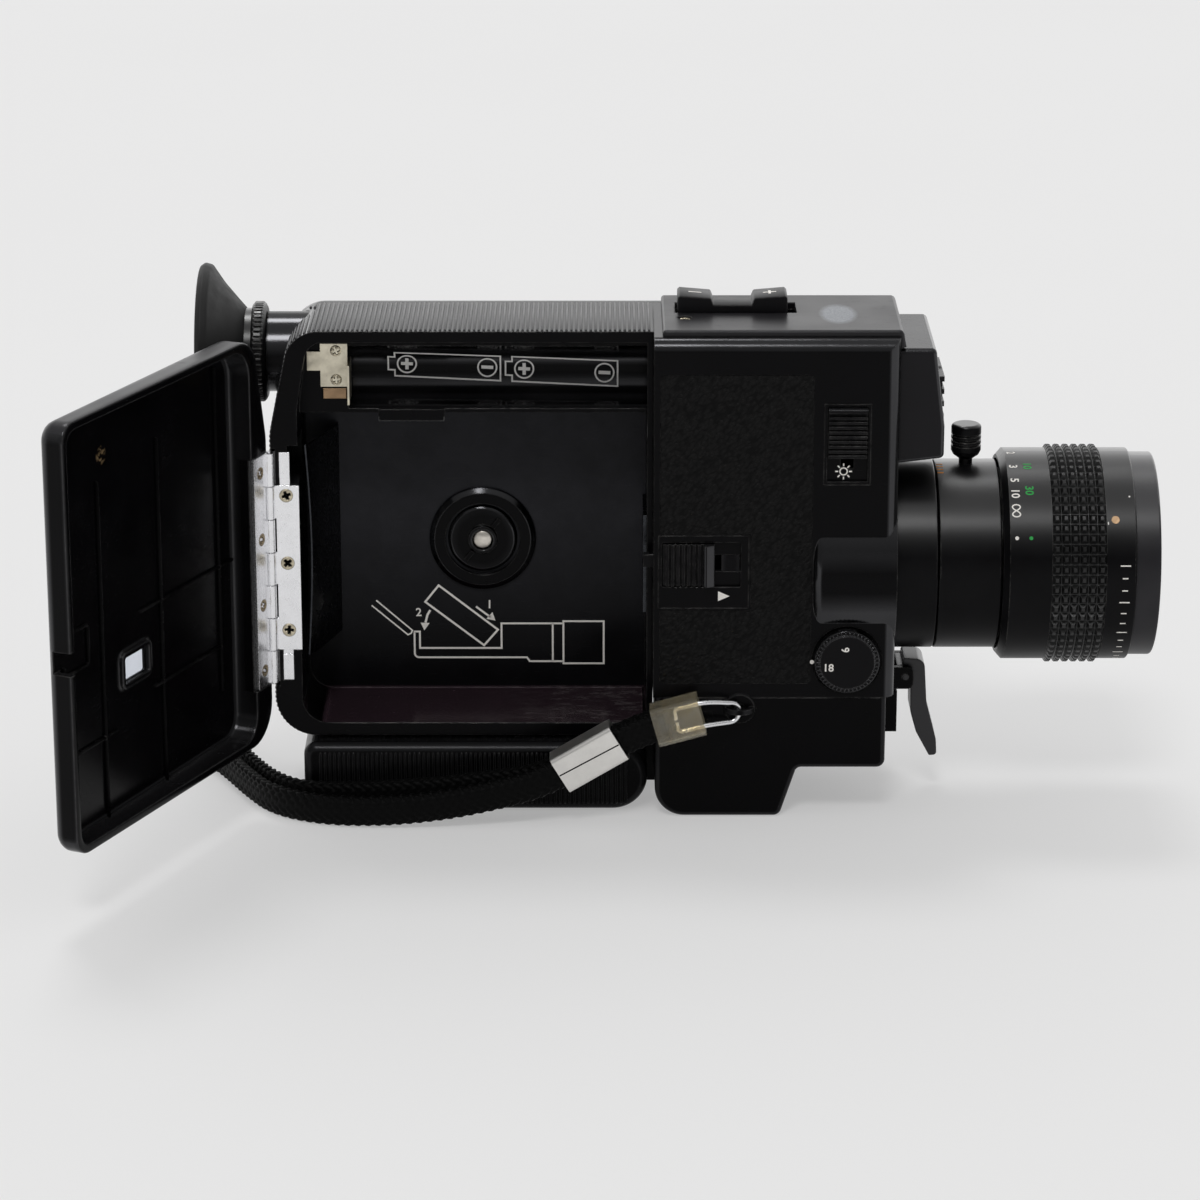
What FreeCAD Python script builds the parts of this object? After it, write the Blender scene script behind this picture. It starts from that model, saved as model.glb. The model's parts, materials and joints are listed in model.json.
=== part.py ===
import FreeCAD, Part
import math
import os
import Sketcher

# A zoom movie camera for film cartridges, lens towards +X, film door towards -Y,
# standing on its tripod block and folded grip. The origin is the tripod socket's mouth.

Vector = FreeCAD.Vector
doc = FreeCAD.newDocument("movie_camera")
sheet = doc.addObject("Spreadsheet::Sheet", "sizes")

# Driving dimensions: millimetres and degrees
DRIVING = [
    # housing, measured from the socket's axis, the table and the lens plane
    ("rear_reach", 105.0), ("front_reach", 41.5), ("body_top", 117.0), ("body_floor", 17.8),
    ("section_back", 15.5), ("block_top", 30.0), ("near_half", 22.0), ("far_half", 21.0),
    ("door_depth", 8.0), ("skin", 2.5), ("edge_round", 3.0), ("far_round", 6.0),
    ("knee_drop", 25.0), ("knee_lean", 5.1), ("corner_round", 8.0), ("foot_round", 9.5),
    ("body_gap", 0.3), ("running_gap", 0.05),
    # film and battery bays; the drops are measured down from the body's top
    ("rear_wall", 6.3), ("gate_wall", 1.5), ("bay_bottom", 20.9), ("bay_drop", 25.0),
    ("bay_floor", 11.5), ("floor_wall", 1.8), ("recess_drop", 2.5), ("trough_radius", 7.6),
    ("trough_drop", 13.0), ("trough_lip", 6.0), ("trough_start", 87.0), ("trough_wall", 1.0),
    ("battery_reach", 14.0), ("keeper_back", 80.0), ("keeper_long", 15.5), ("contact_thick", 0.6),
    ("gate_half", 9.0), ("gate_rise", 12.0), ("image_half", 2.9), ("image_rise", 2.1),
    # door and hinge
    ("door_skin", 2.0), ("door_gap", 0.4), ("door_open", 114.0), ("pin_overhang", 0.5),
    ("pin_radius", 0.5), ("knuckle_radius", 1.2), ("hinge_bottom", 31.2), ("knuckle_length", 8.1),
    ("leaf_width", 5.4), ("leaf_thick", 0.8), ("leaf_inset", 1.0), ("window_back", 56.0),
    ("window_wide", 10.8), ("window_bottom", 49.0), ("window_high", 6.1), ("rib_thick", 0.8),
    # take-up drive
    ("spindle_back", 56.3), ("spindle_height", 59.2), ("spindle_disc", 7.9), ("spindle_shaft", 3.0),
    ("tooth_module", 0.8), ("gear_thick", 2.4), ("gear_gap", 0.9), ("shutter_lift", 9.0),
    ("shutter_radius", 12.5), ("shutter_thick", 0.5), ("axle_radius", 1.5), ("motor_ahead", 2.0),
    ("motor_clear", 2.5), ("motor_radius", 10.0), ("motor_long", 25.0), ("motor_shaft", 1.0),
    ("post_radius", 1.5), ("frame_back", 11.0), ("frame_thick", 1.5),
    # tripod block, trigger and grip
    ("block_step", 0.5), ("step_height", 12.2), ("slope_foot", 14.7), ("slope_top", 18.7),
    ("front_step", 1.9), ("bush_bore", 2.6), ("bush_radius", 5.0), ("bush_depth", 8.0),
    ("pivot_back", 25.0), ("pivot_radius", 2.0), ("grip_reach", 98.6), ("grip_gap", 1.0),
    ("grip_half", 18.0), ("grip_nose", 8.3), ("lug_half", 5.0), ("trigger_lead", 3.7),
    ("trigger_drop", 0.2), ("trigger_half", 4.6), ("trigger_pin", 0.8), ("ear_thick", 1.5),
    # top plate, rocker and finder housing
    ("plate_rise", 1.5), ("plate_near", 18.8), ("plate_far", 15.0), ("plate_inset", 2.0),
    ("rocker_back", 9.6), ("rocker_front", 17.3), ("rocker_near", 1.8), ("rocker_far", 7.5),
    ("rocker_rise", 6.2), ("rocker_pin", 0.9), ("slot_gap", 0.8), ("side_gap", 0.4),
    ("nose_reach", 10.7), ("nose_half", 17.0), ("nose_drop", 3.4), ("nose_clear", 4.5),
    ("nose_wall", 1.8), ("nose_lean", 2.3), ("meter_radius", 3.9),
    # side controls
    ("cover_lift", 0.5), ("dial_ahead", 30.1), ("dial_height", 39.4), ("dial_radius", 7.65),
    ("dial_shaft", 2.0), ("dial_proud", 2.2), ("frame_lift", 1.0), ("frame_rim", 0.7),
    ("switch_back", 24.0), ("switch_front", 34.8), ("switch_drop", 15.2), ("switch_high", 19.4),
    ("latch_inset", 1.2), ("latch_front", 6.8), ("latch_bottom", 52.3), ("latch_high", 17.7),
    ("latch_sill", 10.7), ("boss_lead", 2.1), ("boss_proud", 5.0),
    # lens: the steps are measured from the barrel's radius, the lengths one after another
    ("lens_clear", 6.5), ("barrel_radius", 22.5), ("boss_step", 1.9), ("sleeve_step", 2.7),
    ("rim_step", 1.7), ("filter_step", 1.0), ("core_step", 4.0), ("helix_step", 2.0),
    ("core_wall", 1.5), ("barrel_long", 9.6), ("zoom_long", 14.9), ("grip_lead", 11.6),
    ("grip_long", 12.6), ("collar_long", 7.1), ("rim_long", 5.8), ("tube_radius", 12.0),
    ("tube_bore", 10.5), ("glass_inset", 1.3), ("glass_seat", 4.8), ("prism_half", 7.0),
    ("knob_radius", 3.55), ("knob_lead", 7.6), ("knob_rise", 9.6), ("knob_stem", 1.6),
    # eyepiece
    ("eye_drop", 10.3), ("finder_clear", 0.1), ("eye_tube", 9.5), ("spigot_step", 1.3),
    ("spigot_wall", 1.2), ("dioptre_step", 2.4), ("cup_radius", 21.0), ("cup_reach", 17.5),
    ("finder_radius", 4.8), ("finder_wall", 1.0),
    # screws and wrist strap
    ("screw_radius", 1.6), ("screw_depth", 0.8), ("door_screw", 1.5), ("contact_screw", 1.35),
    ("strap_wide", 7.2), ("strap_thick", 2.4), ("strap_wall", 0.8), ("wire_radius", 0.6),
    ("eyelet_ahead", 5.0), ("eyelet_height", 27.4),
]


class Size:
    """A length that knows its number and the sheet formula that gives it."""

    def __init__(self, value, formula):
        self.value = value
        self.formula = formula

    def join(self, other, sign, value):
        return Size(value, f"({self.formula} {sign} {sized(other).formula})")

    def __add__(self, other):
        return self.join(other, "+", self.value + sized(other).value)

    def __sub__(self, other):
        return self.join(other, "-", self.value - sized(other).value)

    def __mul__(self, other):
        return self.join(other, "*", self.value * sized(other).value)

    def __truediv__(self, other):
        return self.join(other, "/", self.value / sized(other).value)

    def __radd__(self, other):
        return sized(other) + self

    def __rsub__(self, other):
        return sized(other) - self

    def __rmul__(self, other):
        return sized(other) * self

    def __neg__(self):
        return Size(-self.value, f"(-1 * {self.formula})")


def sized(number):
    return number if isinstance(number, Size) else Size(float(number), repr(float(number)))


def root(size):
    return Size(math.sqrt(size.value), f"sqrt({size.formula})")


class Named:
    """The sheet's cells as attributes, such as s.skin."""


s = Named()
for row, (alias, value) in enumerate(DRIVING, start=1):
    sheet.set(f"A{row}", alias)
    sheet.set(f"B{row}", str(value))
    sheet.setAlias(f"B{row}", alias)
    setattr(s, alias, Size(value, f"sizes.{alias}"))


def bind(feature, field, size):
    feature.setExpression(field, sized(size).formula)


# Sketches: closed outlines whose corners may be rounded
def draw(sketch, corners):
    """Lines and tangent arcs through (u, v, radius) corners, every corner tied to the sheet."""
    corners = [tuple(sized(number) for number in corner) for corner in corners]
    points = [Vector(corner[0].value, corner[1].value, 0) for corner in corners]
    count = len(points)
    ways = [(points[(i + 1) % count] - points[i]).normalize() for i in range(count)]
    trims = []
    for i, corner in enumerate(corners):
        turn = ways[i - 1].getAngle(ways[i])
        trims.append(corner[2].value * math.tan(turn / 2) if len(corner) > 2 else 0.0)
    lines = []
    for i in range(count):
        start = points[i] + ways[i] * trims[i]
        end = points[(i + 1) % count] - ways[i] * trims[(i + 1) % count]
        lines.append(sketch.addGeometry(Part.LineSegment(start, end), False))
    for i, corner in enumerate(corners):
        before, after = lines[i - 1], lines[i]
        if len(corner) > 2:
            ways_here = (ways[i - 1], ways[i])
            spot = round_corner(sketch, points[i], ways_here, trims[i], corner[2], (before, after))
        else:
            sketch.addConstraint(Sketcher.Constraint("Coincident", before, 2, after, 1))
            spot = after
        for kind, place in (("DistanceX", corner[0]), ("DistanceY", corner[1])):
            index = sketch.addConstraint(Sketcher.Constraint(kind, -1, 1, spot, 1, place.value))
            bind(sketch, f"Constraints[{index}]", place)


def round_corner(sketch, point, ways, trim, radius, lines):
    """An arc between two lines, and the point where the lines would meet."""
    way_in, way_out = ways
    before, after = lines
    left_turn = way_in.cross(way_out).z > 0
    start, end = point - way_in * trim, point + way_out * trim
    side = Vector(-way_in.y, way_in.x, 0) * (1 if left_turn else -1)
    centre = start + side * radius.value
    first, last = (start, end) if left_turn else (end, start)
    angles = [math.atan2((spot - centre).y, (spot - centre).x) for spot in (first, last)]
    circle = Part.Circle(centre, Vector(0, 0, 1), radius.value)
    arc = sketch.addGeometry(Part.ArcOfCircle(circle, angles[0], angles[1]), False)
    meet = sketch.addGeometry(Part.Point(point), True)
    ends = (1, 2) if left_turn else (2, 1)
    sketch.addConstraint(Sketcher.Constraint("Tangent", before, 2, arc, ends[0]))
    sketch.addConstraint(Sketcher.Constraint("Tangent", arc, ends[1], after, 1))
    index = sketch.addConstraint(Sketcher.Constraint("Radius", arc, radius.value))
    bind(sketch, f"Constraints[{index}]", radius)
    for line in (before, after):
        sketch.addConstraint(Sketcher.Constraint("PointOnObject", meet, 1, line))
    return meet


def new_sketch(body, plane, level, corners):
    sketch = body.newObject("Sketcher::SketchObject", f"{body.Name}_outline")
    support = next(f for f in body.Origin.OriginFeatures if f.Role == f"{plane}_Plane")
    sketch.AttachmentSupport = [(support, "")]
    sketch.MapMode = "FlatFace"
    bind(sketch, "AttachmentOffset.Base.z", level)
    draw(sketch, corners)
    return sketch


def prism(name, plane, corners, low, high):
    """An outline on a plane, padded from low to high along the plane's own axis."""
    body = doc.addObject("PartDesign::Body", name)
    # the XZ plane faces -Y, so a pad on it starts at the far level
    level = -sized(high) if plane == "XZ" else sized(low)
    pad = body.newObject("PartDesign::Pad", f"{name}_pad")
    pad.Profile = new_sketch(body, plane, level, corners)
    bind(pad, "Length", sized(high) - low)
    return body


def turned(name, axis, centre, corners):
    """A profile of (along, radius) corners turned about an axis through centre."""
    body = doc.addObject("PartDesign::Body", name)
    plane = "XY" if axis == "Y" else "XZ"
    order = corners if axis == "X" else [(c[1], c[0]) + tuple(c[2:]) for c in corners]
    spin = body.newObject("PartDesign::Revolution", f"{name}_turn")
    spin.Profile = new_sketch(body, plane, 0, order)
    spin.ReferenceAxis = (spin.Profile[0], ["H_Axis" if axis == "X" else "V_Axis"])
    spin.Angle = 360
    fields = {"X": "yz", "Y": "xz", "Z": "xy"}[axis]
    for field, place in zip(fields, centre):
        bind(body, f"Placement.Base.{field}", place)
    return body


def soften(body, radius, chosen):
    """Round the body's edges that chosen accepts."""
    doc.recompute()
    solid = body.Tip
    edges = [f"Edge{n}" for n, edge in enumerate(solid.Shape.Edges, start=1) if chosen(edge)]
    fillet = body.newObject("PartDesign::Fillet", f"{body.Name}_fillet")
    fillet.Base = (solid, edges)
    bind(fillet, "Radius", radius)
    return body


def on(edge, **levels):
    """True if the whole edge lies at the given x, y or z levels."""
    for axis, level in levels.items():
        for vertex in edge.Vertexes:
            if abs(getattr(vertex.Point, axis) - sized(level).value) > 1e-4:
                return False
    return True


# Plain solids, each tied to the sheet
def block(name, x, y, z):
    box = doc.addObject("Part::Box", name)
    for field, length, (low, high) in (("x", "Length", x), ("y", "Width", y), ("z", "Height", z)):
        bind(box, length, sized(high) - low)
        bind(box, f"Placement.Base.{field}", low)
    return box


TURNS = {"X": (Vector(0, 1, 0), 90), "Y": (Vector(1, 0, 0), -90), "Z": (Vector(0, 0, 1), 0)}


def rod(name, axis, centre, radius, low, high):
    cylinder = doc.addObject("Part::Cylinder", name)
    bind(cylinder, "Radius", radius)
    bind(cylinder, "Height", sized(high) - low)
    cylinder.Placement = FreeCAD.Placement(Vector(), FreeCAD.Rotation(*TURNS[axis]))
    places = dict(zip("xyz".replace(axis.lower(), ""), centre))
    places[axis.lower()] = low
    for field, place in places.items():
        bind(cylinder, f"Placement.Base.{field}", place)
    return cylinder


def fuse(name, parts):
    joined = doc.addObject("Part::MultiFuse", name)
    joined.Shapes = parts
    return joined


def cut(name, base, tools):
    result = doc.addObject("Part::Cut", name)
    result.Base = base
    result.Tool = tools[0] if len(tools) == 1 else fuse(f"{name}_tools", tools)
    return result


def common(name, parts):
    shared = doc.addObject("Part::MultiCommon", name)
    shared.Shapes = parts
    return shared


def group(name, parts):
    """Separate identical solids under one name."""
    together = doc.addObject("Part::Compound", name)
    together.Links = parts
    return together


NODES = []


def node(feature, label):
    feature.Label = label
    NODES.append(feature)
    return feature


def about(middle, half):
    """The low and high ends of a span centred on a place."""
    return (middle - half, middle + half)


# Sizes that follow from the driving ones
knee_height = s.body_top - s.knee_drop
bay_back = s.rear_reach - s.rear_wall
bay_front = s.section_back + s.gate_wall
bay_top = s.body_top - s.bay_drop
recess_top = s.body_top - s.recess_drop
trough_height = s.body_top - s.trough_drop
lip_height = trough_height - s.trough_radius
block_back = s.section_back - s.block_step
block_front = s.front_reach - s.front_step
grip_top = s.body_floor - s.grip_gap
pivot_height = grip_top / 2
trigger_ahead = s.front_reach + s.trigger_lead
trigger_height = s.block_top - s.trigger_drop
plate_back = s.section_back - s.plate_inset
plate_top = s.body_top + s.plate_rise
rocker_top = s.body_top + s.rocker_rise
switch_top = s.body_top - s.switch_drop
switch_bottom = switch_top - s.switch_high
switch_middle = (s.switch_back + s.switch_front) / 2
latch_back = s.section_back - s.latch_inset
latch_top = s.latch_bottom + s.latch_high
latch_middle = s.latch_bottom + s.latch_sill
boss_back = s.switch_back - s.boss_lead
lens_height = s.block_top + s.lens_clear + s.barrel_radius
boss_radius = s.barrel_radius + s.boss_step
sleeve_radius = s.barrel_radius + s.sleeve_step
rim_radius = s.barrel_radius + s.rim_step
filter_radius = s.barrel_radius - s.filter_step
core_radius = s.barrel_radius - s.core_step
helix_radius = s.barrel_radius - s.helix_step
barrel_front = s.front_reach + s.barrel_long
zoom_front = barrel_front + s.zoom_long
grip_start = zoom_front + s.grip_lead
grip_end = grip_start + s.grip_long
sleeve_front = grip_end + s.collar_long
rim_front = sleeve_front + s.rim_long
knob_ahead = barrel_front + s.knob_lead
knob_top = s.barrel_radius + s.knob_rise
nose_top = s.body_top - s.nose_drop
nose_bottom = lens_height + s.barrel_radius + s.nose_clear
motor_height = lens_height + s.tube_radius + s.motor_radius + s.motor_clear
shutter_height = lens_height + s.shutter_lift
eye_height = s.body_top - s.eye_drop
eye_side = s.trough_radius + s.trough_wall + s.finder_radius + s.finder_clear - s.trough_lip
eye_spigot = s.eye_tube - s.spigot_step
dioptre_radius = s.eye_tube + s.dioptre_step
cup_rear = s.rear_reach + s.cup_reach

# Levels and places that several pieces share
rim = -(s.near_half - s.door_depth)
door_rim = rim - s.body_gap
seam = s.bay_floor + s.floor_wall
rear = -s.rear_reach
section = -s.section_back
near = -s.near_half
cover_inner = s.far_half - s.skin
hinge_top = s.hinge_bottom + 7 * s.knuckle_length
tube_seat = -s.trough_start - 3.5
lens_axis = (0, lens_height)
eye_axis = (eye_side, eye_height)
trough_axis = (-s.trough_lip, trough_height)
spindle_axis = (-s.spindle_back, s.spindle_height)
pin_axis = (rear - s.pin_overhang, rim - s.body_gap / 2)
pivot_axis = (-s.pivot_back, pivot_height)
dial_axis = (s.dial_ahead, s.dial_height)
rocker_axis = ((s.rocker_front - s.rocker_back) / 2, s.body_top - s.skin / 2)
trigger_axis = (trigger_ahead, trigger_height)
motor_axis = (s.motor_ahead, motor_height)

# How far a cutting solid stands past the face that it opens
over = 1.0


def side_outline(inset, front):
    """The rear housing seen from the side: leaning rear top corner and round foot."""
    return [(rear + inset, s.body_floor + inset, s.foot_round - inset),
            (front, s.body_floor + inset), (front, s.body_top - inset),
            (rear + s.knee_lean + inset, s.body_top - inset, s.corner_round - inset),
            (rear + inset, knee_height, s.corner_round * 2)]


# Rear housing: film bay, battery trough, drive posts
def make_chamber_body():
    shell = prism("chamber_shell", "XZ", side_outline(0, section), rim, seam)
    tools = [pin_groove("pin_groove"), tab_seat(), leaf_seat(), spring_notch()]
    tools += [
        rod("trough_cut", "X", trough_axis, s.trough_radius, -s.trough_start, section + over),
        rod("spindle_hole", "Y", spindle_axis, s.spindle_shaft + s.running_gap, s.bay_floor - 6.5,
            seam + over),
        rod("eye_bore", "X", eye_axis, s.eye_tube, rear - 6, tube_seat),
        rod("finder_bore", "X", eye_axis, s.finder_radius + s.finder_clear, tube_seat - 0.5, section + over),
        block("gate_cut", (-bay_front - over, section + over), about(0, s.gate_half / 2),
              about(lens_height, s.gate_rise / 2)),
    ]
    filled = fuse("chamber_filled", [chamber_hollow(shell), spindle_collar(), cell_keeper(), idler_post()])
    node(cut("chamber_body", filled, tools), "chamber_body")


def chamber_hollow(shell):
    """The film bay, and the sloping battery recess above it."""
    bay = prism("bay_cut", "XZ",
                [(-bay_back, s.bay_bottom, 6), (-bay_front, s.bay_bottom, 1), (-bay_front, bay_top),
                 (-bay_back, bay_top)], rim - over, s.bay_floor)
    sill = bay_top - 0.1
    slope = prism("recess_depth", "YZ",
                  [(rim - over, sill), (s.bay_floor, sill), (s.bay_floor, bay_top),
                   (-s.trough_lip, lip_height - s.trough_wall),
                   (-s.trough_lip, trough_height + s.trough_radius + over),
                   (rim - over, recess_top)], -bay_back, -bay_front)
    side = prism("recess_side", "XZ",
                 [(-bay_back, bay_top - over), (section, bay_top - over), (section, recess_top),
                  (-bay_back + s.knee_lean / 2, recess_top, 5), (-bay_back, knee_height + 6, 8)],
                 rim - 2 * over, s.bay_floor + over)
    return cut("chamber_hollow", shell, [bay, common("recess_cut", [slope, side])])


def spindle_collar():
    """The low ring round the spindle, sloping down to the bay's floor."""
    inner = s.spindle_disc + 1.1
    top = s.bay_floor - 1.4
    outer = s.spindle_disc + 4.9
    foot = s.bay_floor + 0.5
    return turned("spindle_ring", "Y", spindle_axis,
                  [(top, inner), (top, outer - 1.3), (s.bay_floor - 0.6, outer), (foot, outer),
                   (foot, inner)])


def cell_keeper():
    """A tab in front of the trough's lip that keeps the cells in."""
    return block("cell_keeper", (-s.keeper_back, -s.keeper_back + s.keeper_long),
                 (-s.trough_lip - 1.2, -s.trough_lip), (lip_height - s.trough_wall - 1.8, lip_height + 2))


def tab_seat():
    return block("tab_seat", (rear + 1.8, rear + 4.4), (rim - over, rim + s.leaf_thick),
                 (s.hinge_bottom + 0.5, hinge_top + 0.1))


def leaf_seat():
    long = s.knuckle_length
    return block("leaf_seat", (rear - over, rear + s.leaf_inset + s.leaf_width + 0.2),
                 (rim - over, rim + s.leaf_thick),
                 (s.hinge_bottom + long - 0.1, s.hinge_bottom + 6 * long + 0.1))


def spring_notch():
    return block("spring_notch", (-bay_back - 2.5, -bay_back + over), (rim - over, 2),
                 (bay_top - 12, bay_top - 2.5))


# Gear train from the motor to the spindle
PINION_TEETH = 10
IDLER_TEETH = 50
drive_x = motor_axis[0] - spindle_axis[0]
drive_z = motor_axis[1] - spindle_axis[1]
drive_reach = root(drive_x * drive_x + drive_z * drive_z)
motor_mesh = s.tooth_module * (PINION_TEETH + IDLER_TEETH) / 2
SPINDLE_TEETH = math.ceil(((drive_reach - motor_mesh) * 2 / s.tooth_module).value) - IDLER_TEETH
spindle_mesh = s.tooth_module * (IDLER_TEETH + SPINDLE_TEETH) / 2


def idler_centre():
    """The place that is in mesh with the motor's pinion and with the spindle's wheel."""
    squares = drive_reach * drive_reach + spindle_mesh * spindle_mesh - motor_mesh * motor_mesh
    along = squares / (drive_reach * 2)
    off = root(spindle_mesh * spindle_mesh - along * along)
    return (spindle_axis[0] + (drive_x * along - drive_z * off) / drive_reach,
            spindle_axis[1] + (drive_z * along + drive_x * off) / drive_reach)


idler_axis = idler_centre()


def idler_post():
    return rod("idler_post", "Y", idler_axis, s.post_radius, seam - 0.5,
               seam + s.gear_gap + s.gear_thick + 1)


# Far side cover, with the lens boss that shows on both sides
def lens_boss(name, inner, outer):
    """The slice of the round lens housing that stands out of a side face."""
    barrel = turned(f"{name}_barrel", "X", lens_axis,
                    [(boss_back, 0), (s.front_reach, 0), (s.front_reach, boss_radius),
                     (boss_back, boss_radius, 2.2)])
    side = block(f"{name}_side", (0, s.front_reach + over), (inner, outer), (0, lens_height * 2))
    return common(f"{name}_slice", [barrel, side])


PLATE_SCREW = (section + 7.3, -s.rocker_near - 4.8)
COVER_SCREWS = [(rear + 10.5, s.body_floor + 10.7), (section - 14.5, s.body_floor + 10.7),
                (rear + 8.4, knee_height - 2), (s.front_reach - 7.5, s.block_top + 6),
                (s.front_reach - 7.5, s.body_top - 8.5)]


def make_left_cover():
    outline = [(rear, s.body_floor, s.foot_round), (section, s.body_floor), (section, s.block_top),
               (s.front_reach, s.block_top), (s.front_reach, s.body_top),
               (rear + s.knee_lean, s.body_top, s.corner_round), (rear, knee_height, s.corner_round * 2)]
    shell = prism("left_shell", "XZ", outline, seam, s.far_half)
    soften(shell, s.far_round, lambda e: on(e, y=s.far_half, z=s.body_top) and e.Length > 30)
    inset = s.skin
    ceiling = s.body_top - s.far_round
    inner = [(rear + inset, s.body_floor + inset, s.foot_round - inset),
             (section + inset, s.body_floor + inset), (section + inset, s.block_top + inset),
             (s.front_reach - inset, s.block_top + inset), (s.front_reach - inset, ceiling),
             (rear + s.knee_lean + inset, ceiling, s.corner_round - inset),
             (rear + inset, knee_height, s.corner_round * 2)]
    hollow = prism("left_hollow", "XZ", inner, seam - over, cover_inner)
    boss = lens_boss("left_boss", cover_inner, s.far_half + s.boss_proud)
    filled = fuse("left_filled", [cut("left_open", shell, [hollow]), boss])
    skin_seat = prism("left_skin_seat", "XZ", skin_outline(), s.far_half - s.cover_lift, s.far_half + over)
    tools = [rod("left_eye_bore", "X", eye_axis, s.eye_tube, rear - 6, tube_seat), skin_seat]
    seat = s.far_half - s.screw_depth
    for n, place in enumerate(COVER_SCREWS, start=1):
        tools.append(rod(f"left_screw_seat_{n}", "Y", place, s.screw_radius + 0.1, seat, s.far_half + over))
    node(cut("left_cover", filled, tools), "left_cover")
    heads = [screw_head(f"cover_screw_{n}", "Y", place, seat)
             for n, place in enumerate(COVER_SCREWS, start=1)]
    heads.append(screw_head("plate_screw", "Z", PLATE_SCREW, plate_top - s.screw_depth))
    node(group("case_screws", heads), "case_screws")


def screw_head(name, axis, place, seat):
    """A domed head that stands on its seat."""
    crown = seat + s.screw_depth - 0.1
    return turned(name, axis, place,
                  [(seat, 0), (crown, 0), (crown, s.screw_radius, 0.3), (seat, s.screw_radius)])


PANEL_DROP = 3.7


def skin_outline():
    """The far side's grained panel."""
    back, front = rear + 11, boss_back - 4.4
    low, high = s.block_top + PANEL_DROP, s.body_top - 11
    return [(back, low, 3), (front, low, 3), (front, high, 3), (back, high, 3)]


# Front section: the thicker housing round the lens, with the side controls
def make_front_housing():
    inner = s.skin
    wall = near + inner
    shell = prism("front_shell", "XZ",
                  [(section, s.block_top), (s.front_reach, s.block_top), (s.front_reach, s.body_top),
                   (section, s.body_top)], near, seam)
    soften(shell, s.edge_round, lambda e: on(e, y=near, z=s.body_top) or on(e, y=near, x=s.front_reach))
    hollow = prism("front_hollow", "XZ",
                   [(section + inner, s.block_top + inner), (s.front_reach - inner, s.block_top + inner),
                    (s.front_reach - inner, s.body_top - inner), (section + inner, s.body_top - inner)],
                   wall, seam + over)
    boss = lens_boss("near_boss", near - s.boss_proud, wall)
    tube = rod("battery_tube_wall", "X", trough_axis, s.trough_radius + s.trough_wall,
               section + over, s.battery_reach)
    solid = fuse("front_filled", [cut("front_open", shell, [hollow]), boss, tube])
    back_wall = (section - over, section + inner + over)
    tools = [
        rod("battery_bore", "X", trough_axis, s.trough_radius, section - over,
            s.battery_reach - s.trough_wall),
        rod("lens_hole", "X", lens_axis, s.tube_radius + s.body_gap, s.front_reach - inner - over,
            s.front_reach + over),
        block("gate_hole", back_wall, about(0, 6), about(lens_height, 7)),
        rod("finder_hole", "X", eye_axis, s.finder_radius + s.finder_clear, *back_wall),
        rocker_slot("rocker_slot", s.body_top - inner - over, s.body_top + over),
        rod("rocker_pin_hole", "Y", rocker_axis, s.rocker_pin + s.running_gap, -s.rocker_near - 2.1,
            s.rocker_far + 2.1),
        rod("dial_hole", "Y", dial_axis, s.dial_shaft + s.running_gap, near - over, wall + over),
        dial_seat("dial_seat"),
        block("latch_seat", (-latch_back, s.latch_front), (near - over, near + s.frame_lift),
              (s.latch_bottom, latch_top)),
        block("latch_slot", (section + 2.5, 5), (near - over, wall + over), about(latch_middle, 2)),
        block("hook_slot", back_wall, (wall - 0.1, wall + 4.1), about(latch_middle, 2.8)),
        block("switch_seat", (s.switch_back, s.switch_front), (near - over, near + s.frame_lift),
              (switch_bottom, switch_top)),
        block("switch_slot", about(switch_middle, 1.5), (near - over, wall + over),
              (switch_bottom + 3.6, switch_top - 1.8)),
        prism("leather_seat", "XZ", leather_outline(), near - over, near + s.cover_lift),
    ]
    node(cut("front_housing", solid, tools), "front_housing")


def rocker_slot(name, low, high):
    return block(name, (-s.rocker_back - s.slot_gap, s.rocker_front + s.slot_gap),
                 (-s.rocker_near - s.side_gap, s.rocker_far + s.side_gap), (low, high))


def dial_seat(name):
    """The round seat that the dial turns in, cut from all that reaches under it."""
    return rod(name, "Y", dial_axis, s.dial_radius + 0.6, near - s.boss_proud - over, near + over)


def leather_outline():
    """Grained panel on the near side, stepped round the latch plate."""
    back, front = section + 1.6, s.switch_back - 2.6
    low, high = s.block_top + PANEL_DROP, s.body_top - 8.4
    step = s.latch_front + 0.6
    return [(back, low, 1), (front, low, 1), (front, high, 1), (back, high, 1), (back, latch_top + 0.6),
            (step, latch_top + 0.6), (step, s.latch_bottom - 0.6), (back, s.latch_bottom - 0.6)]


def make_panels():
    proud = 0.1
    node(prism("near_leather", "XZ", leather_outline(), near - proud, near + s.cover_lift), "near_leather")
    node(prism("far_leather", "XZ", skin_outline(), s.far_half - s.cover_lift, s.far_half + proud),
         "far_leather")


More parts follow.
